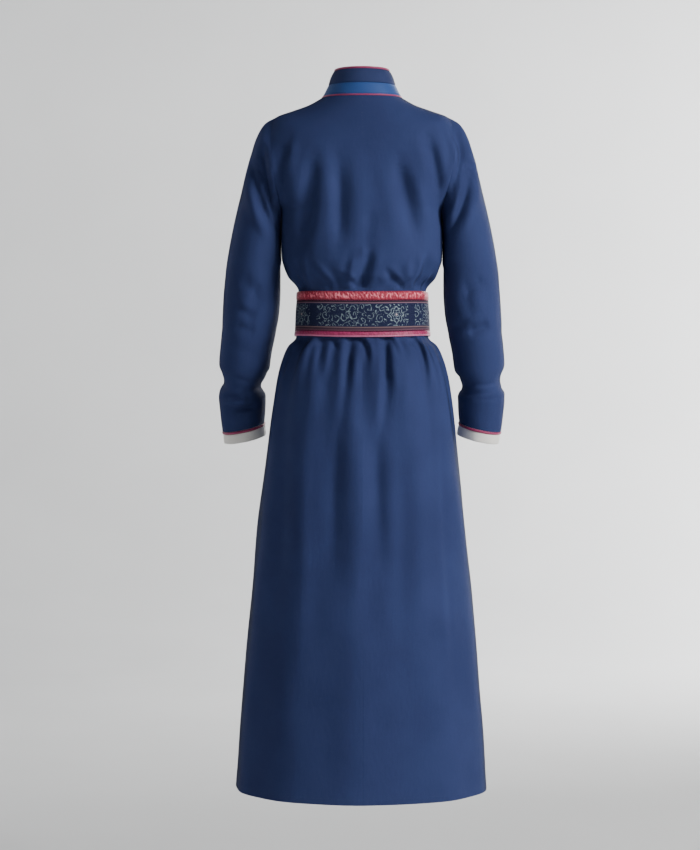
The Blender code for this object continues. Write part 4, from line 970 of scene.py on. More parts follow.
edge_gap = np.full(len(points), 9.0)
edge_gap[: len(body_points)] = wrap_gap(grid_row, grid_col)
lift = np.zeros(len(points))
lift[: len(body_points)] = WRAP_LIFT * ease(14, 20, grid_col) + edge_roll(grid_row, grid_col)
raised = points + shared * lift[:, None]
pieces = {}
left_of_middle = cell_col < QUARTER - TINY
pieces["back_left"] = cloth_piece(
    "back_left_cloth", points, body_quads[left_of_middle], CLOTH, uv
)
pieces["back_right"] = cloth_piece(
    "back_right_cloth", points, body_quads[cell_col >= 3 * QUARTER - 1e-6], CLOTH, uv
)
pieces["front_outer"] = cloth_piece(
    "front_outer_cloth", raised, with_halves(outer_full, outer_half, True), CLOTH, uv
)
pieces["front_inner"] = cloth_piece(
    "front_inner_cloth", points, with_halves(inner_full, inner_half, False), CLOTH, uv
)
pieces["sleeve_left"] = cloth_piece("sleeve_left_cloth", points, left_quads, CLOTH, uv)
pieces["sleeve_right"] = cloth_piece("sleeve_right_cloth", points, right_quads, CLOTH, uv)
for name, piece in pieces.items():
    print(name, "faces:", len(piece.data.polygons))

# %% [markdown]
# ## Collar, piping and cuffs
# The standing collar has two tiers on one curve: royal blue from the neck seam, navy above it. A
# round piping runs along the neck seam and along the free edge, as a covered cord is sewn in.
# Each tier is a wall with a slight roll outward in its middle, because the stiffening inside
# lifts the cloth a little there. The cuffs are the white band under each sleeve end, below a
# piping of the same pink.

# %% Walls and cords


def wall(name, outer, inner, uv, closed):
    """A wall between two grids of points, rows by columns; closed joins the last column."""
    rows, cols = outer.shape[:2]
    verts = np.concatenate([outer.reshape(-1, 3), inner.reshape(-1, 3)])
    layer = rows * cols
    faces = []
    last = cols if closed else cols - 1
    for i in range(rows - 1):
        for j in range(last):
            a = i * cols + j
            b = i * cols + (j + 1) % cols
            faces.append((a, a + cols, b + cols, b))
            faces.append((a + layer, b + layer, b + layer + cols, a + layer + cols))
    for j in range(last):
        k = (j + 1) % cols
        faces.append((j, k, k + layer, j + layer))
        e = (rows - 1) * cols
        faces.append((e + k, e + j, e + j + layer, e + k + layer))
    if not closed:
        for i in range(rows - 1):
            a = i * cols
            faces.append((a + cols, a, a + layer, a + cols + layer))
            a = i * cols + cols - 1
            faces.append((a, a + cols, a + cols + layer, a + layer))
    here = np.asarray(uv, float).reshape(-1, 2)
    return new_mesh(name, verts, faces, np.concatenate([here, here]))


def cord(name, line, radius, sides=14, closed=False, up=None, wobble=0.0):
    """A round cord along a line, with a map: round it and along it, in metres."""
    line = np.asarray(line, float)
    count = len(line)
    if closed:
        ahead = unit(np.roll(line, -1, axis=0) - np.roll(line, 1, axis=0))
    else:
        ahead = unit(np.gradient(line, axis=0))
    reference = np.array([0.0, 0.0, 1.0]) if up is None else np.asarray(up, float)
    side = unit(np.cross(ahead, reference))
    other = np.cross(side, ahead)
    turn = 2 * math.pi * np.arange(sides) / sides
    step = np.linalg.norm(np.diff(line, axis=0), axis=1)
    along = np.concatenate([[0], np.cumsum(step)])
    thick = radius * (1 - wobble * (0.5 + 0.5 * np.sin(along / 0.0115) * np.sin(along / 0.0071)))
    ring = np.cos(turn)[None, :, None] * side[:, None] + np.sin(turn)[None, :, None] * other[:, None]
    verts = line[:, None] + ring * thick[:, None, None]
    faces = []
    for i in range(count if closed else count - 1):
        j = (i + 1) % count
        for k in range(sides):
            m = (k + 1) % sides
            faces.append((i * sides + k, j * sides + k, j * sides + m, i * sides + m))
    if not closed:
        faces.append(tuple(range(sides)))
        faces.append(tuple(reversed(range((count - 1) * sides, count * sides))))
    flat = np.stack(np.broadcast_arrays(turn[None, :] * radius, along[:, None]), axis=-1)
    return new_mesh(name, verts.reshape(-1, 3), faces, flat.reshape(-1, 2))


# %% Collar tiers and piping


def collar_point(t, phi):
    """Points of the collar; t runs from the neck seam to the free edge."""
    at = np.linspace(0, 1, len(COLLAR))
    v = {h: smooth(at, column_of(COLLAR, COLLAR_HEADS, h), t) for h in COLLAR_HEADS}
    return section(
        v["half_width"], v["back"], v["front"], 2.0, v["z_back"], v["z_front"], v["z_side"], phi
    )


def collar_frame(t, phi):
    """Points of the collar with the ways out of the cloth and up it."""
    here = collar_point(t, phi)
    up = collar_point(np.minimum(t + 0.02, 1.0), phi) - collar_point(np.maximum(t - 0.02, 0.0), phi)
    along = collar_point(t, phi + 0.01) - collar_point(t, phi - 0.01)
    return here, unit(np.cross(along, -up)), unit(up)


gap = math.radians(COLLAR_OPENING)
phi = np.linspace(-math.pi + gap, math.pi - gap, 193)
stops = np.array([collar_point(np.full(len(phi), t), phi) for t in np.linspace(0, 1, 21)])
heights = np.linalg.norm(np.diff(stops, axis=0), axis=2).sum(axis=0)
cord_room = (2 * COLLAR_CORD + 2 * CORD_ROOM) / heights


def collar_tier(name, low, high, steps, roll):
    """A tier of the collar as a wall that rolls out a little between its edges."""
    outer = []
    inner = []
    flat = []
    turn = np.cumsum(np.linalg.norm(np.diff(stops[10], axis=0, prepend=stops[10][:1]), axis=1))
    for k in range(steps + 1):
        share = k / steps
        t = low + (high - low) * share
        here, out, up = collar_frame(t, phi)
        swell = roll * math.sin(math.pi * share) ** 0.6
        swell = swell * (0.75 + 0.25 * np.sin(5 * phi + 1) * np.sin(2.3 * phi))
        edge = 0.0005 * max(0.0, 1 - min(share, 1 - share) * steps / 1.5)
        outer.append(here + out * (swell - edge)[:, None])
        inner.append(here - out * (COLLAR_WALL - edge))
        flat.append(np.stack([turn, t * heights], axis=1))
    return wall(name, np.array(outer)[::-1], np.array(inner)[::-1], np.array(flat)[::-1], False)


half_gap = 0.00015 / heights
over_cord = (2 * COLLAR_CORD + 0.0002) / heights
pieces["collar_band"] = collar_tier("collar_band_cloth", over_cord, COLLAR_SPLIT - half_gap, 12, 0.0006)
pieces["collar_stand"] = collar_tier(
    "collar_stand_cloth", COLLAR_SPLIT + half_gap, np.ones(len(phi)), 14, 0.0005
)
for name, t, rise in (
    ("collar_base_piping", 0.0, COLLAR_CORD + 0.0003),
    ("collar_top_piping", 1.0, COLLAR_CORD + CORD_ROOM),
):
    here, out, up = collar_frame(np.full(len(phi), t), phi)
    line = here - out * COLLAR_WALL / 2 + up * rise
    pieces[name] = cord(name + "_cord", line, COLLAR_CORD, wobble=0.10)
    if t > 0.5:
        lift_by = np.linspace(-1, 1, 3)[:, None, None] * CORD_ROOM * 0.62
        mid = (line - up * (COLLAR_CORD + CORD_ROOM * 0.42))[None] + up[None] * lift_by
        flange = np.broadcast_to(out[None] * 0.0004, mid.shape)
        along = np.cumsum(np.linalg.norm(np.diff(line, axis=0, prepend=line[:1]), axis=1))
        flat = np.stack([np.broadcast_to(along, (3, len(along))), np.zeros((3, len(along)))], axis=-1)
        pieces["collar_top_flange"] = wall(
            "collar_top_flange", (mid + flange)[::-1], (mid - flange)[::-1], flat, False
        )
print("collar height at the back:", round(float(heights[96]) * 1000, 1), "mm")

# %% Cuffs and their piping


def cuff_frame(number):
    """The sleeve's last ring at the middle of its cloth, the way the sleeve points, and out."""
    last = points[number[-1]]
    centre = last.mean(axis=0)
    way = centre - points[number[-8]].mean(axis=0)
    plane = np.cross(last - np.roll(last, 12, axis=0), np.roll(last, -12, axis=0) - last).sum(axis=0)
    plane = unit(plane)
    plane = plane if plane @ way > 0 else -plane
    out = last - centre
    out = unit(out - np.outer(out @ plane, plane))
    return last - out * 0.001, plane, out


for side, number, mirror in (("left", left_number, 1), ("right", right_number, -1)):
    ring, way, out = cuff_frame(number)
    drop = 0.0003 + CUFF_CORD
    name = "cuff_piping_" + side
    pieces[name] = cord(name + "_cord", ring + way * drop, CUFF_CORD, closed=True, up=way, wobble=0.08)
    lean = unit(way + np.array([0.05 * mirror, 0.0, 0.0]))
    start = ring + way * (drop + CUFF_CORD + 0.0001)
    angle = 2 * math.pi * np.arange(len(ring)) / len(ring)
    outer = []
    inner = []
    flat = []
    around = np.cumsum(np.linalg.norm(np.diff(ring, axis=0, prepend=ring[:1]), axis=1))
    for k in range(13):
        share = k / 12
        fold = 0.0007 * np.sin(3 * angle + 1.2 * mirror) + 0.0005 * np.sin(7 * angle + 2)
        fold = fold * ease(0.1, 0.9, share)
        mid = start + lean * CUFF_DEPTH * share + out * (fold + 0.0003 * share)[:, None]
        edge = 0.0004 * max(0.0, 1 - min(share, 1 - share) * 12 / 1.5)
        outer.append(mid + out * (0.0009 - edge))
        inner.append(mid - out * (0.0009 - edge))
        flat.append(np.stack([around, np.full(len(ring), -share * CUFF_DEPTH)], axis=1))
    outer = np.array(outer)
    inner = np.array(inner)
    flat = np.array(flat)
    if mirror < 0:
        outer, inner, flat = outer[:, ::-1], inner[:, ::-1], flat[:, ::-1]
    pieces["cuff_" + side] = wall("cuff_" + side + "_cloth", outer, inner, flat, True)
print("cuff ring points:", len(ring))

# %% [markdown]
# ## The belt
# The belt is a stiff sash of three strips sewn edge to edge: crinkled coral satin on top, a dark
# brocade with a silver scroll in the middle, and magenta satin below. It goes once round and laps
# over its own end at the front, climbing by its own thickness there. The satin strips puff out
# a little between their seams; the brocade lies flat.

# %% Belt strips


def belt_ring(row, degrees, end):
    """A line round the belt at a body row, with the way out of it."""
    column = degrees / 7.5
    here = body_base(np.full(len(column), float(row)), column % COLUMNS)
    ahead = body_base(np.full(len(column), float(row)), (column + 0.02) % COLUMNS)
    behind = body_base(np.full(len(column), float(row)), (column - 0.02) % COLUMNS)
    out = unit(np.cross(ahead - behind, np.array([0.0, 0.0, -1.0])))
    raise_by = WRAP_LIFT * ease(14, 20, column % COLUMNS)
    raise_by = raise_by * (1 - ease(3 * QUARTER - 1, 3 * QUARTER + 2, column % COLUMNS))
    over = (BELT_WALL + 0.0003) * ease(end - BELT_OVERLAP - 33.75, end - BELT_OVERLAP - 3.75, degrees)
    return here + out * (raise_by + BELT_EASE + over)[:, None], out


def belt_strip(name, top, low, steps, puff, crinkle):
    """One strip between two body rows; puff is its roll outward, crinkle its unevenness."""
    start = 180.0 - BELT_OVERLAP / 2 - 360.0
    end = 180.0 + BELT_OVERLAP / 2
    degrees = np.linspace(start, end, 649)
    outer = []
    inner = []
    flat = []
    middle, _ = belt_ring(18, degrees, end)
    u = np.cumsum(np.linalg.norm(np.diff(middle, axis=0, prepend=middle[:1]), axis=1))
    u = u - np.interp(0.0, degrees, u)
    noise = np.random.default_rng(11)
    phase = noise.uniform(0, 2 * math.pi, 9)
    for k in range(steps + 1):
        share = k / steps
        row = top + (low - top) * share
        line, out = belt_ring(row, degrees, end)
        swell = puff * (1 - (2 * share - 1) ** 4)
        ripple = np.zeros(len(u))
        for n in range(9):
            ripple += np.sin(u * (260 + 145 * n) + phase[n] + share * (2.0 + 1.3 * n)) / (2 + n)
        swell = swell + crinkle * ripple * math.sin(math.pi * share) ** 0.5
        swell = swell - 0.0004 * max(0.0, 1 - min(share, 1 - share) * steps / 1.5)
        outer.append(line + out * (BELT_WALL + swell)[:, None])
        inner.append(line + out * 0.0001)
        v = (row - BELT_TOP_ROW) / (BELT_LOW_ROW - BELT_TOP_ROW) * 0.082
        flat.append(np.stack([u, np.full(len(u), v)], axis=1))
    return wall(name, np.array(outer), np.array(inner), np.array(flat), False)


BELT_ROWS = BELT_LOW_ROW - BELT_TOP_ROW
rows_a_metre = BELT_ROWS / 0.082
seam_rows = 0.00012 * rows_a_metre
top_band = BELT_TOP_ROW + 0.0165 * rows_a_metre
low_band = BELT_LOW_ROW - 0.0120 * rows_a_metre
pieces["belt_top_band"] = belt_strip(
    "belt_top_satin", BELT_TOP_ROW, top_band - seam_rows, 12, 0.0007, 0.00022
)
pieces["belt"] = belt_strip(
    "belt_brocade_cloth", top_band + seam_rows, low_band - seam_rows, 18, 0.0001, 0.00003
)
pieces["belt_bottom_band"] = belt_strip(
    "belt_bottom_satin", low_band + seam_rows, BELT_LOW_ROW, 10, 0.0006, 0.00010
)
belt_strips = [pieces[n] for n in ("belt", "belt_top_band", "belt_bottom_band")]
print("belt faces:", sum(len(strip.data.polygons) for strip in belt_strips))

# %% [markdown]
# ## Knot buttons and their loops
# A wrap of this kind closes with small cord knots, each through a loop of the same cloth. The
# photograph shows the back, so these are two plain ones where such a robe needs them most: at
# the neck and on the chest. The knot is one cord wound three times round a ball, over and under
# itself, and the loop is a doubled cord that is sewn down behind the wrap's edge.

# %% Fastenings


def make_fastening(name, row, column):
    """A wound knot, and the doubled cord that loops round its foot."""
    def at(c):
        i = int(np.argmin(np.abs(ROW - row)))
        return body_id(i, int(round(c * FINE)) % NC)

    a, e, n = at(column - 1), at(column), at(column + 1)
    beyond = unit(points[n] - points[e])
    inside = unit(points[a] - points[e])
    out = unit(shared[e] + shared[n])
    centre = points[e] + beyond * (KNOT + 0.0022) + out * (KNOT + 0.0003)
    side = unit(np.cross(out, beyond))
    fore = np.cross(side, out)
    t = np.linspace(0, 6 * math.pi, 260, endpoint=False)
    height = 1.02 * np.cos(4 * t / 3)
    rise = KNOT - 0.0016 + 0.0007 * np.sin(8 * t / 3)
    flat_r = np.cos(height)[:, None] * (np.cos(t)[:, None] * fore + np.sin(t)[:, None] * side)
    line = centre + rise[:, None] * (flat_r + np.sin(height)[:, None] * out)
    pieces["button_" + name] = cord("button_" + name + "_knot", line, 0.0012, 8, True, out)
    bm = bmesh.new()
    bmesh.ops.create_icosphere(bm, subdivisions=3, radius=KNOT - 0.0018)
    ball = np.array([v.co[:] for v in bm.verts])
    faces = [[v.index for v in f.verts] for f in bm.faces]
    bm.free()
    pieces["button_" + name + "_core"] = new_mesh("button_core", ball + centre, faces, ball[:, :2])
    level = WRAP_LIFT + 0.0019
    half = 0.0019
    length = min(0.018, 0.9 * float(np.linalg.norm(points[a] - points[e])))
    reach = KNOT + 0.0022
    radius = 0.0043
    loop = [inside * length + side * half]
    loop += [inside * length * (1 - k / 6) * 0.96 + side * half for k in range(1, 6)]
    loop += [beyond * (reach - radius * math.cos(math.pi - q)) + side * radius * math.sin(-q)
             for q in np.linspace(-0.78 * math.pi, 0.78 * math.pi, 25)]
    loop += [inside * length * (1 - k / 6) * 0.96 - side * half for k in range(5, 0, -1)]
    loop += [inside * length - side * half]
    rise = [level if k < 6 or k > len(loop) - 7 else level - 0.0006 for k in range(len(loop))]
    base = points[e] + np.array(loop)
    base = base + out * np.array(rise)[:, None]
    fine = np.linspace(0, len(base) - 1, 150)
    line = np.stack([np.interp(fine, np.arange(len(base)), base[:, k]) for k in range(3)], axis=1)
    for _ in range(4):
        line[1:-1] = (line[:-2] + 2 * line[1:-1] + line[2:]) / 4
    pieces["loop_" + name] = cord("loop_" + name + "_cord", line, 0.0010, 10, False, out)


for name, row, column in FASTENINGS:
    make_fastening(name, row, column)
print("pieces so far:", len(pieces))

# %% [markdown]
# ## Stitches
# A hem is held by a row of hand stitches that only just show, and the belt's strips and the
# wrap's edge are topstitched. Geometry Nodes lays them: a line along the cloth is cut into even
# steps, and each step takes one short rounded stitch, turned along the line and laid flat on the
# cloth. The tree has named inputs, so one tree serves every row of stitches.

# %% Stitch tree


def stitch_tree():
    """Geometry nodes that lay stitches along a polyline which carries its way out."""
    tree = bpy.data.node_groups.new("stitches", "GeometryNodeTree")
    face = tree.interface
    face.new_socket("Line", in_out="INPUT", socket_type="NodeSocketGeometry")
    face.new_socket("Pitch", in_out="INPUT", socket_type="NodeSocketFloat")
    face.new_socket("Length", in_out="INPUT", socket_type="NodeSocketFloat")
    face.new_socket("Thickness", in_out="INPUT", socket_type="NodeSocketFloat")
    face.new_socket("Thread", in_out="INPUT", socket_type="NodeSocketMaterial")
    face.new_socket("Geometry", in_out="OUTPUT", socket_type="NodeSocketGeometry")
    node = tree.nodes.new
    link = tree.links.new
    given = node("NodeGroupInput")
    made = node("NodeGroupOutput")
    curve = node("GeometryNodeMeshToCurve")
    even = node("GeometryNodeResampleCurve")
    even.mode = "LENGTH"
    link(given.outputs["Line"], curve.inputs["Mesh"])
    link(curve.outputs["Curve"], even.inputs["Curve"])
    link(given.outputs["Pitch"], even.inputs["Length"])
    tangent = node("GeometryNodeInputTangent")
    out = node("GeometryNodeInputNamedAttribute")
    out.data_type = "FLOAT_VECTOR"
    out.inputs["Name"].default_value = "out"
    along = node("FunctionNodeAlignRotationToVector")
    along.axis = "X"
    flat = node("FunctionNodeAlignRotationToVector")
    flat.axis = "Z"
    flat.pivot_axis = "X"
    link(tangent.outputs[0], along.inputs["Vector"])
    link(along.outputs[0], flat.inputs["Rotation"])
    link(out.outputs[0], flat.inputs["Vector"])
    ball = node("GeometryNodeMeshIcoSphere")
    ball.inputs["Radius"].default_value = 0.5
    ball.inputs["Subdivisions"].default_value = 2
    size = node("ShaderNodeCombineXYZ")
    link(given.outputs["Length"], size.inputs[0])
    link(given.outputs["Thickness"], size.inputs[1])
    link(given.outputs["Thickness"], size.inputs[2])
    put = node("GeometryNodeInstanceOnPoints")
    link(even.outputs["Curve"], put.inputs["Points"])
    link(ball.outputs["Mesh"], put.inputs["Instance"])
    link(flat.outputs[0], put.inputs["Rotation"])
    link(size.outputs[0], put.inputs["Scale"])
    real = node("GeometryNodeRealizeInstances")
    paint = node("GeometryNodeSetMaterial")
    link(put.outputs["Instances"], real.inputs["Geometry"])
    link(real.outputs["Geometry"], paint.inputs["Geometry"])
    link(given.outputs["Thread"], paint.inputs["Material"])
    link(paint.outputs["Geometry"], made.inputs["Geometry"])
    return tree


STITCHES = stitch_tree()
SOCKET = {item.name: item.identifier for item in STITCHES.interface.items_tree if item.in_out == "INPUT"}


def stitch(name, line, out, pitch, length, thick, thread):
    """A row of stitches along a line, as a plain mesh."""
    mesh = bpy.data.meshes.new(name + "_line")
    mesh.from_pydata(np.asarray(line).tolist(), [(i, i + 1) for i in range(len(line) - 1)], [])
    layer = mesh.attributes.new("out", "FLOAT_VECTOR", "POINT")
    layer.data.foreach_set("vector", np.asarray(out, np.float32).ravel())
    guide = bpy.data.objects.new(name + "_line", mesh)
    bpy.context.scene.collection.objects.link(guide)
    modifier = guide.modifiers.new("stitches", "NODES")
    modifier.node_group = STITCHES
    modifier[SOCKET["Pitch"]] = pitch
    modifier[SOCKET["Length"]] = length
    modifier[SOCKET["Thickness"]] = thick
    modifier[SOCKET["Thread"]] = thread
    bpy.context.view_layer.update()
    graph = bpy.context.evaluated_depsgraph_get()
    laid = bpy.data.meshes.new_from_object(guide.evaluated_get(graph), depsgraph=graph)
    laid.name = name
    made = bpy.data.objects.new(name, laid)
    bpy.context.scene.collection.objects.link(made)
    bpy.data.objects.remove(guide)
    laid.shade_smooth()
    return made


def on_cloth(rows, columns, rise):
    """Points a little above the outer cloth at real rows and columns, and the way out there."""
    rows, columns = np.broadcast_arrays(np.asarray(rows, float), np.asarray(columns, float) % COLUMNS)
    i = np.clip(np.searchsorted(ROW, rows, side="right") - 1, 0, NR - 2)
    s = ((rows - ROW[i]) / (ROW[i + 1] - ROW[i]))[:, None]
    j = np.floor(columns * FINE).astype(int)
    t = (columns * FINE - j)[:, None]
    a, b, c, d = body_id(i, j), body_id(i, j + 1), body_id(i + 1, j), body_id(i + 1, j + 1)
    mix = [(1 - s) * (1 - t), (1 - s) * t, s * (1 - t), s * t]
    p = sum(points[k] * m for k, m in zip((a, b, c, d), mix))
    n = unit(sum(shared[k] * m for k, m in zip((a, b, c, d), mix)))
    outer = (columns > QUARTER) & (columns < FLAP + 0.01)
    up = WRAP_LIFT * ease(14, 20, columns) * outer
    return p + n * (up + rise)[:, None], n


print("stitch inputs:", ", ".join(SOCKET))

# %% [markdown]
# ## Cloth as a material
# A woven cloth is read by three things: the colour of its yarn, the way its surface catches
# light at a low angle, and the small relief of its weave. The colour moves a little over the
# cloth, a painted shade darkens it where the cloth turns away from the eye, and the weave comes
# from two sets of waves that follow the map in metres, so the twill keeps its real size on every
# piece. A small class lets the sums of a shader be written as sums.

# %% Sums for shaders


class Num:
    """A number socket of a shader that can be added, multiplied and compared."""

    def __init__(self, tree, out):
        self.tree = tree
        self.out = out

    def put(self, kind, *values):
        """One Math node with this number first."""
        node = self.tree.nodes.new("ShaderNodeMath")
        node.operation = kind
        for k, value in enumerate((self,) + values):
            if isinstance(value, Num):
                self.tree.links.new(value.out, node.inputs[k])
            else:
                node.inputs[k].default_value = float(value)
        return Num(self.tree, node.outputs[0])

    def back(self, kind, value):
        """One Math node with a plain number first."""
        node = self.tree.nodes.new("ShaderNodeMath")
        node.operation = kind
        node.inputs[0].default_value = float(value)
        self.tree.links.new(self.out, node.inputs[1])
        return Num(self.tree, node.outputs[0])

    def __add__(self, other):
        return self.put("ADD", other)

    def __radd__(self, other):
        return self.put("ADD", other)

    def __sub__(self, other):
        return self.put("SUBTRACT", other)

    def __rsub__(self, other):
        return self.back("SUBTRACT", other)

    def __mul__(self, other):
        return self.put("MULTIPLY", other)

    def __rmul__(self, other):
        return self.put("MULTIPLY", other)

    def __truediv__(self, other):
        return self.put("DIVIDE", other)

    def __rtruediv__(self, other):
        return self.back("DIVIDE", other)

    def __abs__(self):
        return self.put("ABSOLUTE")

    def __gt__(self, other):
        return self.put("GREATER_THAN", other)

    def ramp(self, low, high, to_low=0.0, to_high=1.0):
        """A soft step from to_low to to_high."""
        node = self.tree.nodes.new("ShaderNodeMapRange")
        node.interpolation_type = "SMOOTHSTEP"
        self.tree.links.new(self.out, node.inputs[0])
        for k, value in enumerate((low, high, to_low, to_high)):
            node.inputs[k + 1].default_value = value
        return Num(self.tree, node.outputs[0])


class Paint:
    """A material under construction."""

    def __init__(self, name, roughness, sheen=0.0, sheen_tint=(1, 1, 1)):
        self.material = bpy.data.materials.new(name)
        self.material.use_nodes = True
        self.tree = self.material.node_tree
        self.shader = self.tree.nodes["Principled BSDF"]
        self.shader.inputs["Roughness"].default_value = roughness
        self.shader.inputs["Sheen Weight"].default_value = sheen
        self.shader.inputs["Sheen Roughness"].default_value = 0.45
        self.shader.inputs["Sheen Tint"].default_value = (*sheen_tint, 1)
        self.shader.inputs["Specular IOR Level"].default_value = 0.02

    def node(self, kind, settings=None, **sockets):
        """Any other node: settings by name, sockets by name or number after s."""
        node = self.tree.nodes.new(kind)
        for name, value in (settings or {}).items():
            setattr(node, name, value)
        for name, value in sockets.items():
            socket = node.inputs[int(name[1:])] if name[1:].isdigit() else node.inputs[name]
            if isinstance(value, Num):
                self.tree.links.new(value.out, socket)
            elif isinstance(value, bpy.types.NodeSocket):
                self.tree.links.new(value, socket)
            else:
                socket.default_value = value
        return node

    def num(self, out):
        return Num(self.tree, out)

    def uv(self):
        """How far round and how far down the cloth, in metres."""
        cloth_map = self.node("ShaderNodeUVMap", {"uv_map": "cloth"})
        both = self.node("ShaderNodeSeparateXYZ", s0=cloth_map.outputs[0])
        return self.num(both.outputs[0]), self.num(both.outputs[1])

    def noise(self, scale, detail=2.0, along=(1, 1, 1)):
        """Soft noise in the object's own space, stretched by along."""
        place = self.node("ShaderNodeTexCoord").outputs["Object"]
        stretched = self.node("ShaderNodeVectorMath", {"operation": "MULTIPLY"}, s0=place)
        stretched.inputs[1].default_value = along
        made = self.node("ShaderNodeTexNoise", Vector=stretched.outputs[0], Scale=scale, Detail=detail)
        return self.num(made.outputs[0])

    def flat_noise(self, u, v, scale, detail=2.0):
        """Noise over two numbers of the map."""
        place = self.node("ShaderNodeCombineXYZ", s0=u, s1=v)
        made = self.node("ShaderNodeTexNoise", Vector=place.outputs[0], Scale=scale, Detail=detail)
        return self.num(made.outputs[0])

    def blend(self, share, a, b):
        """A colour between two, by a share."""
        mixer = self.node("ShaderNodeMix", {"data_type": "RGBA"})
        for value, socket in ((share, mixer.inputs[0]), (a, mixer.inputs[6]), (b, mixer.inputs[7])):
            if isinstance(value, Num):
                self.tree.links.new(value.out, socket)
            elif isinstance(value, bpy.types.NodeSocket):
                self.tree.links.new(value, socket)
            elif isinstance(value, tuple):
                socket.default_value = (*value, 1)
            else:
                socket.default_value = value
        return mixer.outputs[2]

    def colour(self, out):
        self.tree.links.new(out, self.shader.inputs["Base Color"])

    def rough(self, number):
        self.tree.links.new(number.out, self.shader.inputs["Roughness"])

    def relief(self, height, distance):
        bump = self.node("ShaderNodeBump", Height=height)
        bump.inputs["Distance"].default_value = distance
        bump.inputs["Strength"].default_value = 1.0
        self.tree.links.new(bump.outputs[0], self.shader.inputs["Normal"])


def twill(paint, u, v, pitch):
    """Height of a twill: diagonal ribs, broken by the crossing yarns."""
    wander = paint.noise(60, 2) * 0.25
    ribs = ((u + v) * (2 * math.pi / pitch) + wander).put("SINE")
    yarns = ((u - v * 0.35) * (2 * math.pi / pitch * 1.7)).put("SINE")
    return ribs * 0.5 + yarns * 0.25


def satin_threads(paint, u, v, fine):
    """Height of fine threads that run along v."""
    return paint.flat_noise(u * fine, v * (fine / 14), 1.0, 2.0)


print("sums for shaders are ready")

# %% The robe's cloths

NAVY = (0.0262, 0.0366, 0.1060)
NAVY_LIT = (0.0316, 0.0446, 0.1260)


def painted_edge_shade(paint, colour):
    """Painted shade: the colour is darkened where the cloth turns away from the eye."""
    turned = paint.num(paint.node("ShaderNodeLayerWeight", Blend=0.5).outputs["Facing"])
    return paint.blend(turned.ramp(0.62, 0.97, 0.0, 0.72), colour, (0.006, 0.008, 0.020))


def centre_seam(paint):
    """The seam of the two backs, which shows on the lower skirt only."""
    place = paint.node("ShaderNodeSeparateXYZ", s0=paint.node("ShaderNodeTexCoord").outputs["Object"])
    x = paint.num(place.outputs[0])
    z = paint.num(place.outputs[2])
    return abs(x).ramp(0.0, 0.0016, 1.0, 0.0) * z.ramp(-1.10, -0.90, 1.0, 0.0)


def painted_wrap_shade(paint):
    """Painted shade along the edge of the wrap, from the distance stored on the cloth."""
    inside = paint.num(paint.node("ShaderNodeAttribute", {"attribute_name": "wrap"}).outputs["Fac"])
    return inside.ramp(-0.32, 0.0) * inside.ramp(0.04, 0.14, 1.0, 0.0)


def robe_cloth(name, low, high, roughness=0.62, line=None, deep=0.0):
    """Wool-like twill; line gives a pressed seam line, or the painted shade along the wrap's edge, deep
    how dark it is.
    """
    paint = Paint(name, roughness)
    u, v = paint.uv()
    cloud = paint.noise(7, 3).ramp(0.3, 0.7)
    fleck = paint.noise(900, 2, (1, 1, 0.5)).ramp(0.35, 0.65, -0.18, 0.18)
    out = paint.blend(cloud + fleck, low, high)
    height = twill(paint, u, v, 0.0011) * 0.35 + paint.noise(160, 3, (1, 1, 0.4)) * 2.0
    if line:
        seam_and_painted_shade = line(paint)
        # the back's seam is darkened as a seam line; the front's wrap edge is darkened as painted shade
        out = paint.blend(seam_and_painted_shade * deep, out, (0.012, 0.018, 0.05))
        height = height - seam_and_painted_shade * 0.8
    # painted shade at the edges where the cloth turns away from the eye
    paint.colour(painted_edge_shade(paint, out))
    paint.relief(height, 0.00022)
    return paint.material


def satin(name, low, high, roughness, sheen, crinkle=0.0, edge=None, shine=0.35):
    """A bright satin; crinkle is how much it is broken up into painted highlights, edge a paler line at
    its foot.
    """
    paint = Paint(name, roughness, sheen, high)
    u, v = paint.uv()
    threads = satin_threads(paint, u, v, 5200)
    if crinkle:
        twist = (u * 95).put("SINE") * 0.5 + v * 60
        broken = paint.flat_noise(u * 300 + twist, v * 210 - twist, 1.0, 3.0)
        # without an edge, the painted highlights on the crinkles are kept to the middle of the strip
        middle = v.ramp(0.0012, 0.0050) * v.ramp(0.0105, 0.0150, 1.0, 0.0)
        cloud = broken.ramp(0.44, 0.66)
        if not edge:
            cloud = cloud * (middle * 0.85 + 0.15)
        height = broken.ramp(0.30, 0.70) * (crinkle * 6)
    else:
        cloud = threads
        height = threads * 0.0
    out = paint.blend(cloud, low, high)
    if edge:
        out = paint.blend((v.ramp(edge[0], edge[0] + 0.0012)) * edge[1], out, edge[2])
    paint.colour(out)
    paint.relief(height + threads * 0.4, 0.0005)
    paint.shader.inputs["Specular IOR Level"].default_value = shine
    return paint.material


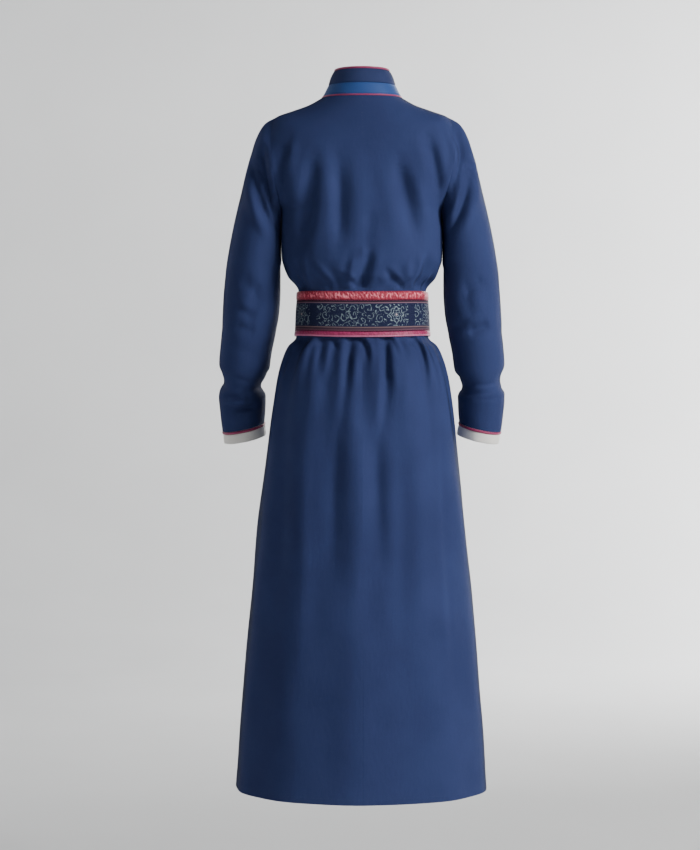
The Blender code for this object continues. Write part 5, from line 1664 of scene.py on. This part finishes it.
CLOTHS = {
    "navy": robe_cloth("navy_twill", NAVY, NAVY_LIT),
    "navy_back": robe_cloth("navy_twill_back", NAVY, NAVY_LIT, line=centre_seam, deep=0.10),
    # the front's cloth has a painted shade along the wrap's edge
    "navy_front": robe_cloth("navy_twill_front", NAVY, NAVY_LIT, line=painted_wrap_shade, deep=0.75),
    "navy_collar": robe_cloth("navy_collar", (0.0255, 0.0350, 0.0960), (0.0306, 0.0424, 0.1140), 0.58),
    "royal": satin("royal_satin", (0.019, 0.052, 0.180), (0.031, 0.082, 0.262), 0.55, 0.03, shine=0.15),
    "pink": satin("pink_piping", (0.24, 0.026, 0.085), (0.36, 0.050, 0.130), 0.48, 0.03),
    "white": satin("cuff_cloth", (0.76, 0.74, 0.70), (0.84, 0.82, 0.78), 0.65, 0.02, shine=0.15),
    # the coral's bright colour is painted highlight on its crinkles
    "coral": satin(
        "coral_satin", (0.34, 0.017, 0.044), (0.96, 0.250, 0.320), 0.34, 0.03, crinkle=0.55, shine=0.35,
    ),
    "magenta": satin(
        "magenta_satin", (0.25, 0.016, 0.075), (0.40, 0.036, 0.130), 0.34, 0.03, crinkle=0.18,
        edge=(0.0775, 0.75, (0.60, 0.190, 0.330)), shine=0.4,
    ),
}
print("cloths:", ", ".join(CLOTHS))

# %% [markdown]
# ## The brocade
# The belt's middle strip is dark, with fine stripes along both edges and a silver scroll between
# them. A brocade is drawn by its weave, so the scroll is drawn the same way here. The strip is
# strewn with points, a thread of silver shows where the place round the nearest point falls on a
# spiral, and smaller curls fill what is left between the large ones. Once in every repeat stands
# a rosette of scalloped rings, and the repeats end in a plain gap. It is an ordinary scroll of
# the kind that weavers everywhere use. The stripes come from a table of the strip's own levels.

# %% Brocade of the belt
REPEAT = 0.187
ROSETTE = -0.062
SCROLL_TOP = 0.0236
SCROLL_LOW = 0.0606
# Stripes along the strip: from and to, in metres below the belt's top edge, and the colour
STRIPES = (
    (0.0000, 0.0176, (0.010, 0.006, 0.013)),
    (0.0176, 0.0190, (0.040, 0.022, 0.038)),
    (0.0190, 0.0196, (0.016, 0.010, 0.018)),
    (0.0196, 0.0209, (0.046, 0.026, 0.042)),
    (0.0209, 0.0224, (0.200, 0.115, 0.150)),
    (0.0618, 0.0630, (0.200, 0.130, 0.130)),
    (0.0630, 0.0646, (0.075, 0.044, 0.064)),
    (0.0646, 0.0652, (0.020, 0.012, 0.020)),
    (0.0652, 0.0665, (0.070, 0.040, 0.060)),
    (0.0665, 0.0684, (0.120, 0.062, 0.088)),
    (0.0684, 0.0900, (0.010, 0.006, 0.013)),
)


def curls(paint, u, v, size, pitch, width, reach, wander):
    """1 on threads that spiral round strewn points, 1 inside the spirals' reach."""
    x = u / size + paint.flat_noise(u * 90, v * 90, 1.0, 1.0) * wander
    y = v / size + paint.flat_noise(u * 90 + 7, v * 90, 1.0, 1.0) * wander
    place = paint.node("ShaderNodeCombineXYZ", s0=x, s1=y).outputs[0]
    cells = paint.node(
        "ShaderNodeTexVoronoi", {"voronoi_dimensions": "2D"}, Vector=place, Scale=1.0, Randomness=0.72
    )
    middle = paint.node("ShaderNodeSeparateXYZ", s0=cells.outputs["Position"])
    chance = paint.num(paint.node("ShaderNodeSeparateXYZ", s0=cells.outputs["Color"]).outputs[0])
    hand = (chance > 0.5) * 2 - 1
    dx = (x - paint.num(middle.outputs[0])) * hand
    dy = y - paint.num(middle.outputs[1])
    r = (dx * dx + dy * dy).put("SQRT")
    turn = dy.put("ARCTAN2", dx) / (2 * math.pi) + chance * 3
    line = abs((r / pitch - turn).put("FRACT") - 0.5).ramp(width, width + 0.06, 1.0, 0.0)
    inside = r.ramp(reach, reach + 0.03, 1.0, 0.0)
    return line * inside, inside


def brocade(name):
    """The strip's cloth, from its map in metres."""
    paint = Paint(name, 0.55, 0.02, (0.5, 0.55, 0.7))
    u, v = paint.uv()
    cu = (((u + 0.0005) / REPEAT + 0.5).put("FRACT") - 0.5) * REPEAT
    large, covered = curls(paint, u, v, 0.0158, 0.37, 0.10, 0.47, 0.7)
    small, _ = curls(paint, u + 0.5, v, 0.0086, 0.62, 0.12, 0.40, 0.5)
    scroll = large.put("MAXIMUM", small * (1 - covered))

    dx = cu - ROSETTE
    dy = v - (SCROLL_TOP + SCROLL_LOW) / 2
    r = (dx * dx + dy * dy).put("SQRT")
    turn = dy.put("ARCTAN2", dx)
    rings = None
    for radius, lobes, swing, thick in (
        (0.0122, 8, 0.0012, 0.0008),
        (0.0078, 6, 0.0012, 0.0007),
        (0.0040, 5, 0.0006, 0.0005),
    ):
        edge = r - (turn * lobes).put("COSINE") * swing - radius
        ring = abs(edge).ramp(thick, thick + 0.0003, 1.0, 0.0)
        rings = ring if rings is None else rings.put("MAXIMUM", ring)
    heart = r.ramp(0.0016, 0.0022, 1.0, 0.0)
    rings = rings.put("MAXIMUM", heart)
    scroll = (scroll * r.ramp(0.0133, 0.0139)).put("MAXIMUM", rings)

    silver = scroll * v.ramp(SCROLL_TOP, SCROLL_TOP + 0.0004)
    silver = silver * v.ramp(SCROLL_LOW - 0.0004, SCROLL_LOW, 1.0, 0.0)
    silver = silver * abs(cu).ramp(0.0855, 0.0862, 1.0, 0.0)
    worn = paint.flat_noise(u * 260, v * 260, 1.0, 3.0).ramp(0.36, 0.62, 0.25, 1.0)
    silver = silver * worn
    yarns = (u * (2 * math.pi / 0.0009)).put("SINE")
    ground = paint.blend(
        paint.flat_noise(u * 500, v * 500, 1.0, 3.0).ramp(0.35, 0.65),
        (0.0120, 0.0150, 0.0390), (0.0200, 0.0240, 0.0640),
    )
    out = paint.blend(silver, ground, (0.210, 0.270, 0.300))
    out = paint.blend(heart * 0.8, out, (0.46, 0.36, 0.36))
    raised = silver * 1.2
    for low, high, colour in STRIPES:
        here = v.ramp(low - 0.0001, low + 0.0001) * v.ramp(high - 0.0001, high + 0.0001, 1.0, 0.0)
        out = paint.blend(here, out, colour)
        raised = raised + here * (3.0 * colour[0])
    paint.colour(out)
    paint.rough(silver * -0.17 + 0.52)
    paint.tree.links.new((silver * 0.35).out, paint.shader.inputs["Metallic"])
    paint.relief(raised + yarns * 0.15, 0.00030)
    return paint.material


CLOTHS["brocade"] = brocade("belt_brocade")
print("brocade nodes:", len(CLOTHS["brocade"].node_tree.nodes))

# %% [markdown]
# ## Rows of stitches
# The hem's hand stitches stand about a centimetre over the edge and show as small dents of navy
# thread. The wrap's edge has a row of topstitching set in from it, the belt's strips are sewn
# along both sides of the brocade, and the collar is stitched just above its lower seam.

# %% Lay the rows


def thread_paint(name, colour):
    paint = Paint(name, 0.55, 0.2, colour)
    paint.colour(paint.blend(paint.noise(700, 2).ramp(0.3, 0.7), colour, tuple(c * 1.5 for c in colour)))
    return paint.material


NAVY_THREAD = thread_paint("navy_thread", (0.020, 0.032, 0.090))
PINK_THREAD = thread_paint("pink_thread", (0.300, 0.050, 0.130))
hem_row = HEM_ROW - 0.0105 / 0.246
columns = np.arange(FLAP + 0.3, FLAP + COLUMNS - 0.15, 0.08)
line, out = on_cloth(np.full(len(columns), hem_row), columns, 0.0)
threads = {"hem_stitches": stitch("hem_stitches", line, out, 0.0062, 0.0030, 0.0006, NAVY_THREAD)}
slant = np.linspace(0.15, FLAP - 2 * QUARTER - 0.4, 60)
line, out = on_cloth(slant, 2 * QUARTER + slant - 0.38, 0.0)
threads["edge_stitches_top"] = stitch("edge_stitches_top", line, out, 0.0032, 0.0022, 0.0006, NAVY_THREAD)
for part, start, end in (("chest", 10.3, 16.8), ("skirt", 19.1, 26.95)):
    rows = np.arange(start, end, 0.05)
    line, out = on_cloth(rows, np.full(len(rows), FLAP - 0.30), 0.0)
    name = "edge_stitches_" + part
    threads[name] = stitch(name, line, out, 0.0032, 0.0022, 0.0006, NAVY_THREAD)
turns = np.linspace(-202.0, 202.0, 500)
for name, row in (
    ("belt_stitches_top", top_band + 0.0010 * rows_a_metre),
    ("belt_stitches_low", low_band - 0.0010 * rows_a_metre),
):
    line, out = belt_ring(row, turns, 180.0 + BELT_OVERLAP / 2)
    line = line + out * (BELT_WALL + 0.0001)
    threads[name] = stitch(name, line, out, 0.0027, 0.0019, 0.0005, PINK_THREAD)
here, out, up = collar_frame(cord_room + 0.0012 / heights, phi)
threads["collar_stitches"] = stitch(
    "collar_stitches", here + out * 0.0002, out, 0.0027, 0.0019, 0.0005, NAVY_THREAD
)
for name, piece in threads.items():
    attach(piece, "root")
    print(name, "triangles:", sum(len(p.vertices) - 2 for p in piece.data.polygons))

# %% [markdown]
# ## Dressing the solids
# Each new sheet takes the cloth of its finish, rides on the robe's one body, and hides the solid
# it stands for. The body's panels hang from the shoulders and are gathered at the belt; the belt
# and the collar are bent round from straight strips.

# %% Finish and place of each piece
SLOTS = {
    "back_left": ("navy_back", "robe_cloth"),
    "back_right": ("navy_back", "robe_cloth"),
    "front_outer": ("navy_front", "robe_cloth"),
    "front_inner": ("navy_front", "robe_cloth"),
    "sleeve_left": ("navy", "robe_cloth"),
    "sleeve_right": ("navy", "robe_cloth"),
    "collar_stand": ("navy_collar", "robe_cloth"),
    "collar_band": ("royal", "collar_cloth"),
    "belt": ("brocade", "belt_brocade"),
    "belt_top_band": ("coral", "belt_coral"),
    "belt_bottom_band": ("magenta", "belt_magenta"),
    "cuff_left": ("white", "cuff_cloth"),
    "cuff_right": ("white", "cuff_cloth"),
}


def finish_of(name):
    """Material and slot of a piece by its name."""
    if name in SLOTS:
        return SLOTS[name]
    if "piping" in name or "flange" in name or "button" in name:
        return "pink", "piping"
    return "navy", "robe_cloth"


for name, piece in pieces.items():
    cloth, slot = finish_of(name)
    piece.data.materials.clear()
    piece.data.materials.append(CLOTHS[cloth])
    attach(piece, "root")
    node = name.replace("_core", "")
    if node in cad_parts:
        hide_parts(node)
    elif name == "collar_top_flange":
        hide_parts("collar_top_piping")
    print(name, "->", cloth, "faces:", len(piece.data.polygons))

# %% [markdown]
# ## Room, light and camera
# The photograph is taken from behind, level with the waist, against a plain grey wall that is
# light on the right and falls into shade on the left. One large soft lamp stands on the right of
# the camera, so the left of each fold goes dark, and a weak fill keeps the shade readable. The
# floor curves up into the wall, as a photographer's paper sweep does.

# %% Sweep, lamps and camera


def sweep(name, level, radius, bend, height):
    """A round floor that curves up into a wall."""
    profile = [(0.0, 0.0)]
    profile += [(radius - bend + bend * math.sin(a), bend - bend * math.cos(a))
                for a in np.linspace(0, math.pi / 2, 24)]
    profile.append((radius, height))
    turns = 96
    verts = [(0.0, 0.0, level)]
    for r, h in profile[1:]:
        for k in range(turns):
            a = 2 * math.pi * k / turns
            verts.append((r * math.cos(a), r * math.sin(a), level + h))
    faces = [(0, 1 + k, 1 + (k + 1) % turns) for k in range(turns)]
    for i in range(len(profile) - 2):
        for k in range(turns):
            m = (k + 1) % turns
            a = 1 + i * turns
            faces.append((a + k, a + turns + k, a + turns + m, a + m))
    return new_mesh(name, verts, faces)


floor = sweep("paper_sweep", -1.62, 7.5, 3.0, 6.0)
paper = Paint("sweep_paper", 0.9)
paper.colour(paper.blend(paper.noise(1.5, 2).ramp(0.3, 0.7), (0.60, 0.605, 0.61), (0.62, 0.625, 0.63)))
floor.data.materials.append(paper.material)


def lamp(name, place, aim, size, power, colour=(1, 1, 1)):
    """A square soft lamp that looks at a point."""
    data = bpy.data.lights.new(name, "AREA")
    data.shape = "SQUARE"
    data.size = size
    data.energy = power
    data.color = colour
    made = bpy.data.objects.new(name, data)
    made.location = place
    made.rotation_euler = (Vector(aim) - Vector(place)).to_track_quat("-Z", "Y").to_euler()
    bpy.context.scene.collection.objects.link(made)


lamp("key", (-3.7, 2.5, 1.5), (0.0, 0.0, -0.45), 1.5, 318, (1.0, 0.99, 0.97))
lamp("fill", (1.2, 4.2, 0.4), (0.0, 0.0, -0.6), 2.5, 8, (0.93, 0.96, 1.0))
lamp("front", (-1.5, -3.8, 1.3), (0.0, 0.0, -0.5), 2.2, 115, (1.0, 0.99, 0.97))
lamp("side", (3.6, -2.2, 0.9), (0.0, 0.0, -0.5), 2.0, 45, (0.95, 0.97, 1.0))
lamp("wall", (-3.9, -3.7, 0.9), (-2.7, -7.2, -0.5), 1.8, 760)
world = bpy.data.worlds.new("room")
world.use_nodes = True
world.node_tree.nodes["Background"].inputs[0].default_value = (0.80, 0.84, 0.90, 1)
world.node_tree.nodes["Background"].inputs[1].default_value = 0.055
bpy.context.scene.world = world

lens = bpy.data.cameras.new("camera")
lens.sensor_fit = "VERTICAL"
lens.angle = math.radians(25.44)
camera = bpy.data.objects.new("camera", lens)
camera.location = (0.0223, 3.5, -0.606)
camera.rotation_euler = (math.pi / 2, 0.0, math.pi)
bpy.context.scene.collection.objects.link(camera)
bpy.context.scene.camera = camera
print("camera is", round(camera.location.y, 2), "m behind the robe")

# %% The end
bpy.context.view_layer.update()
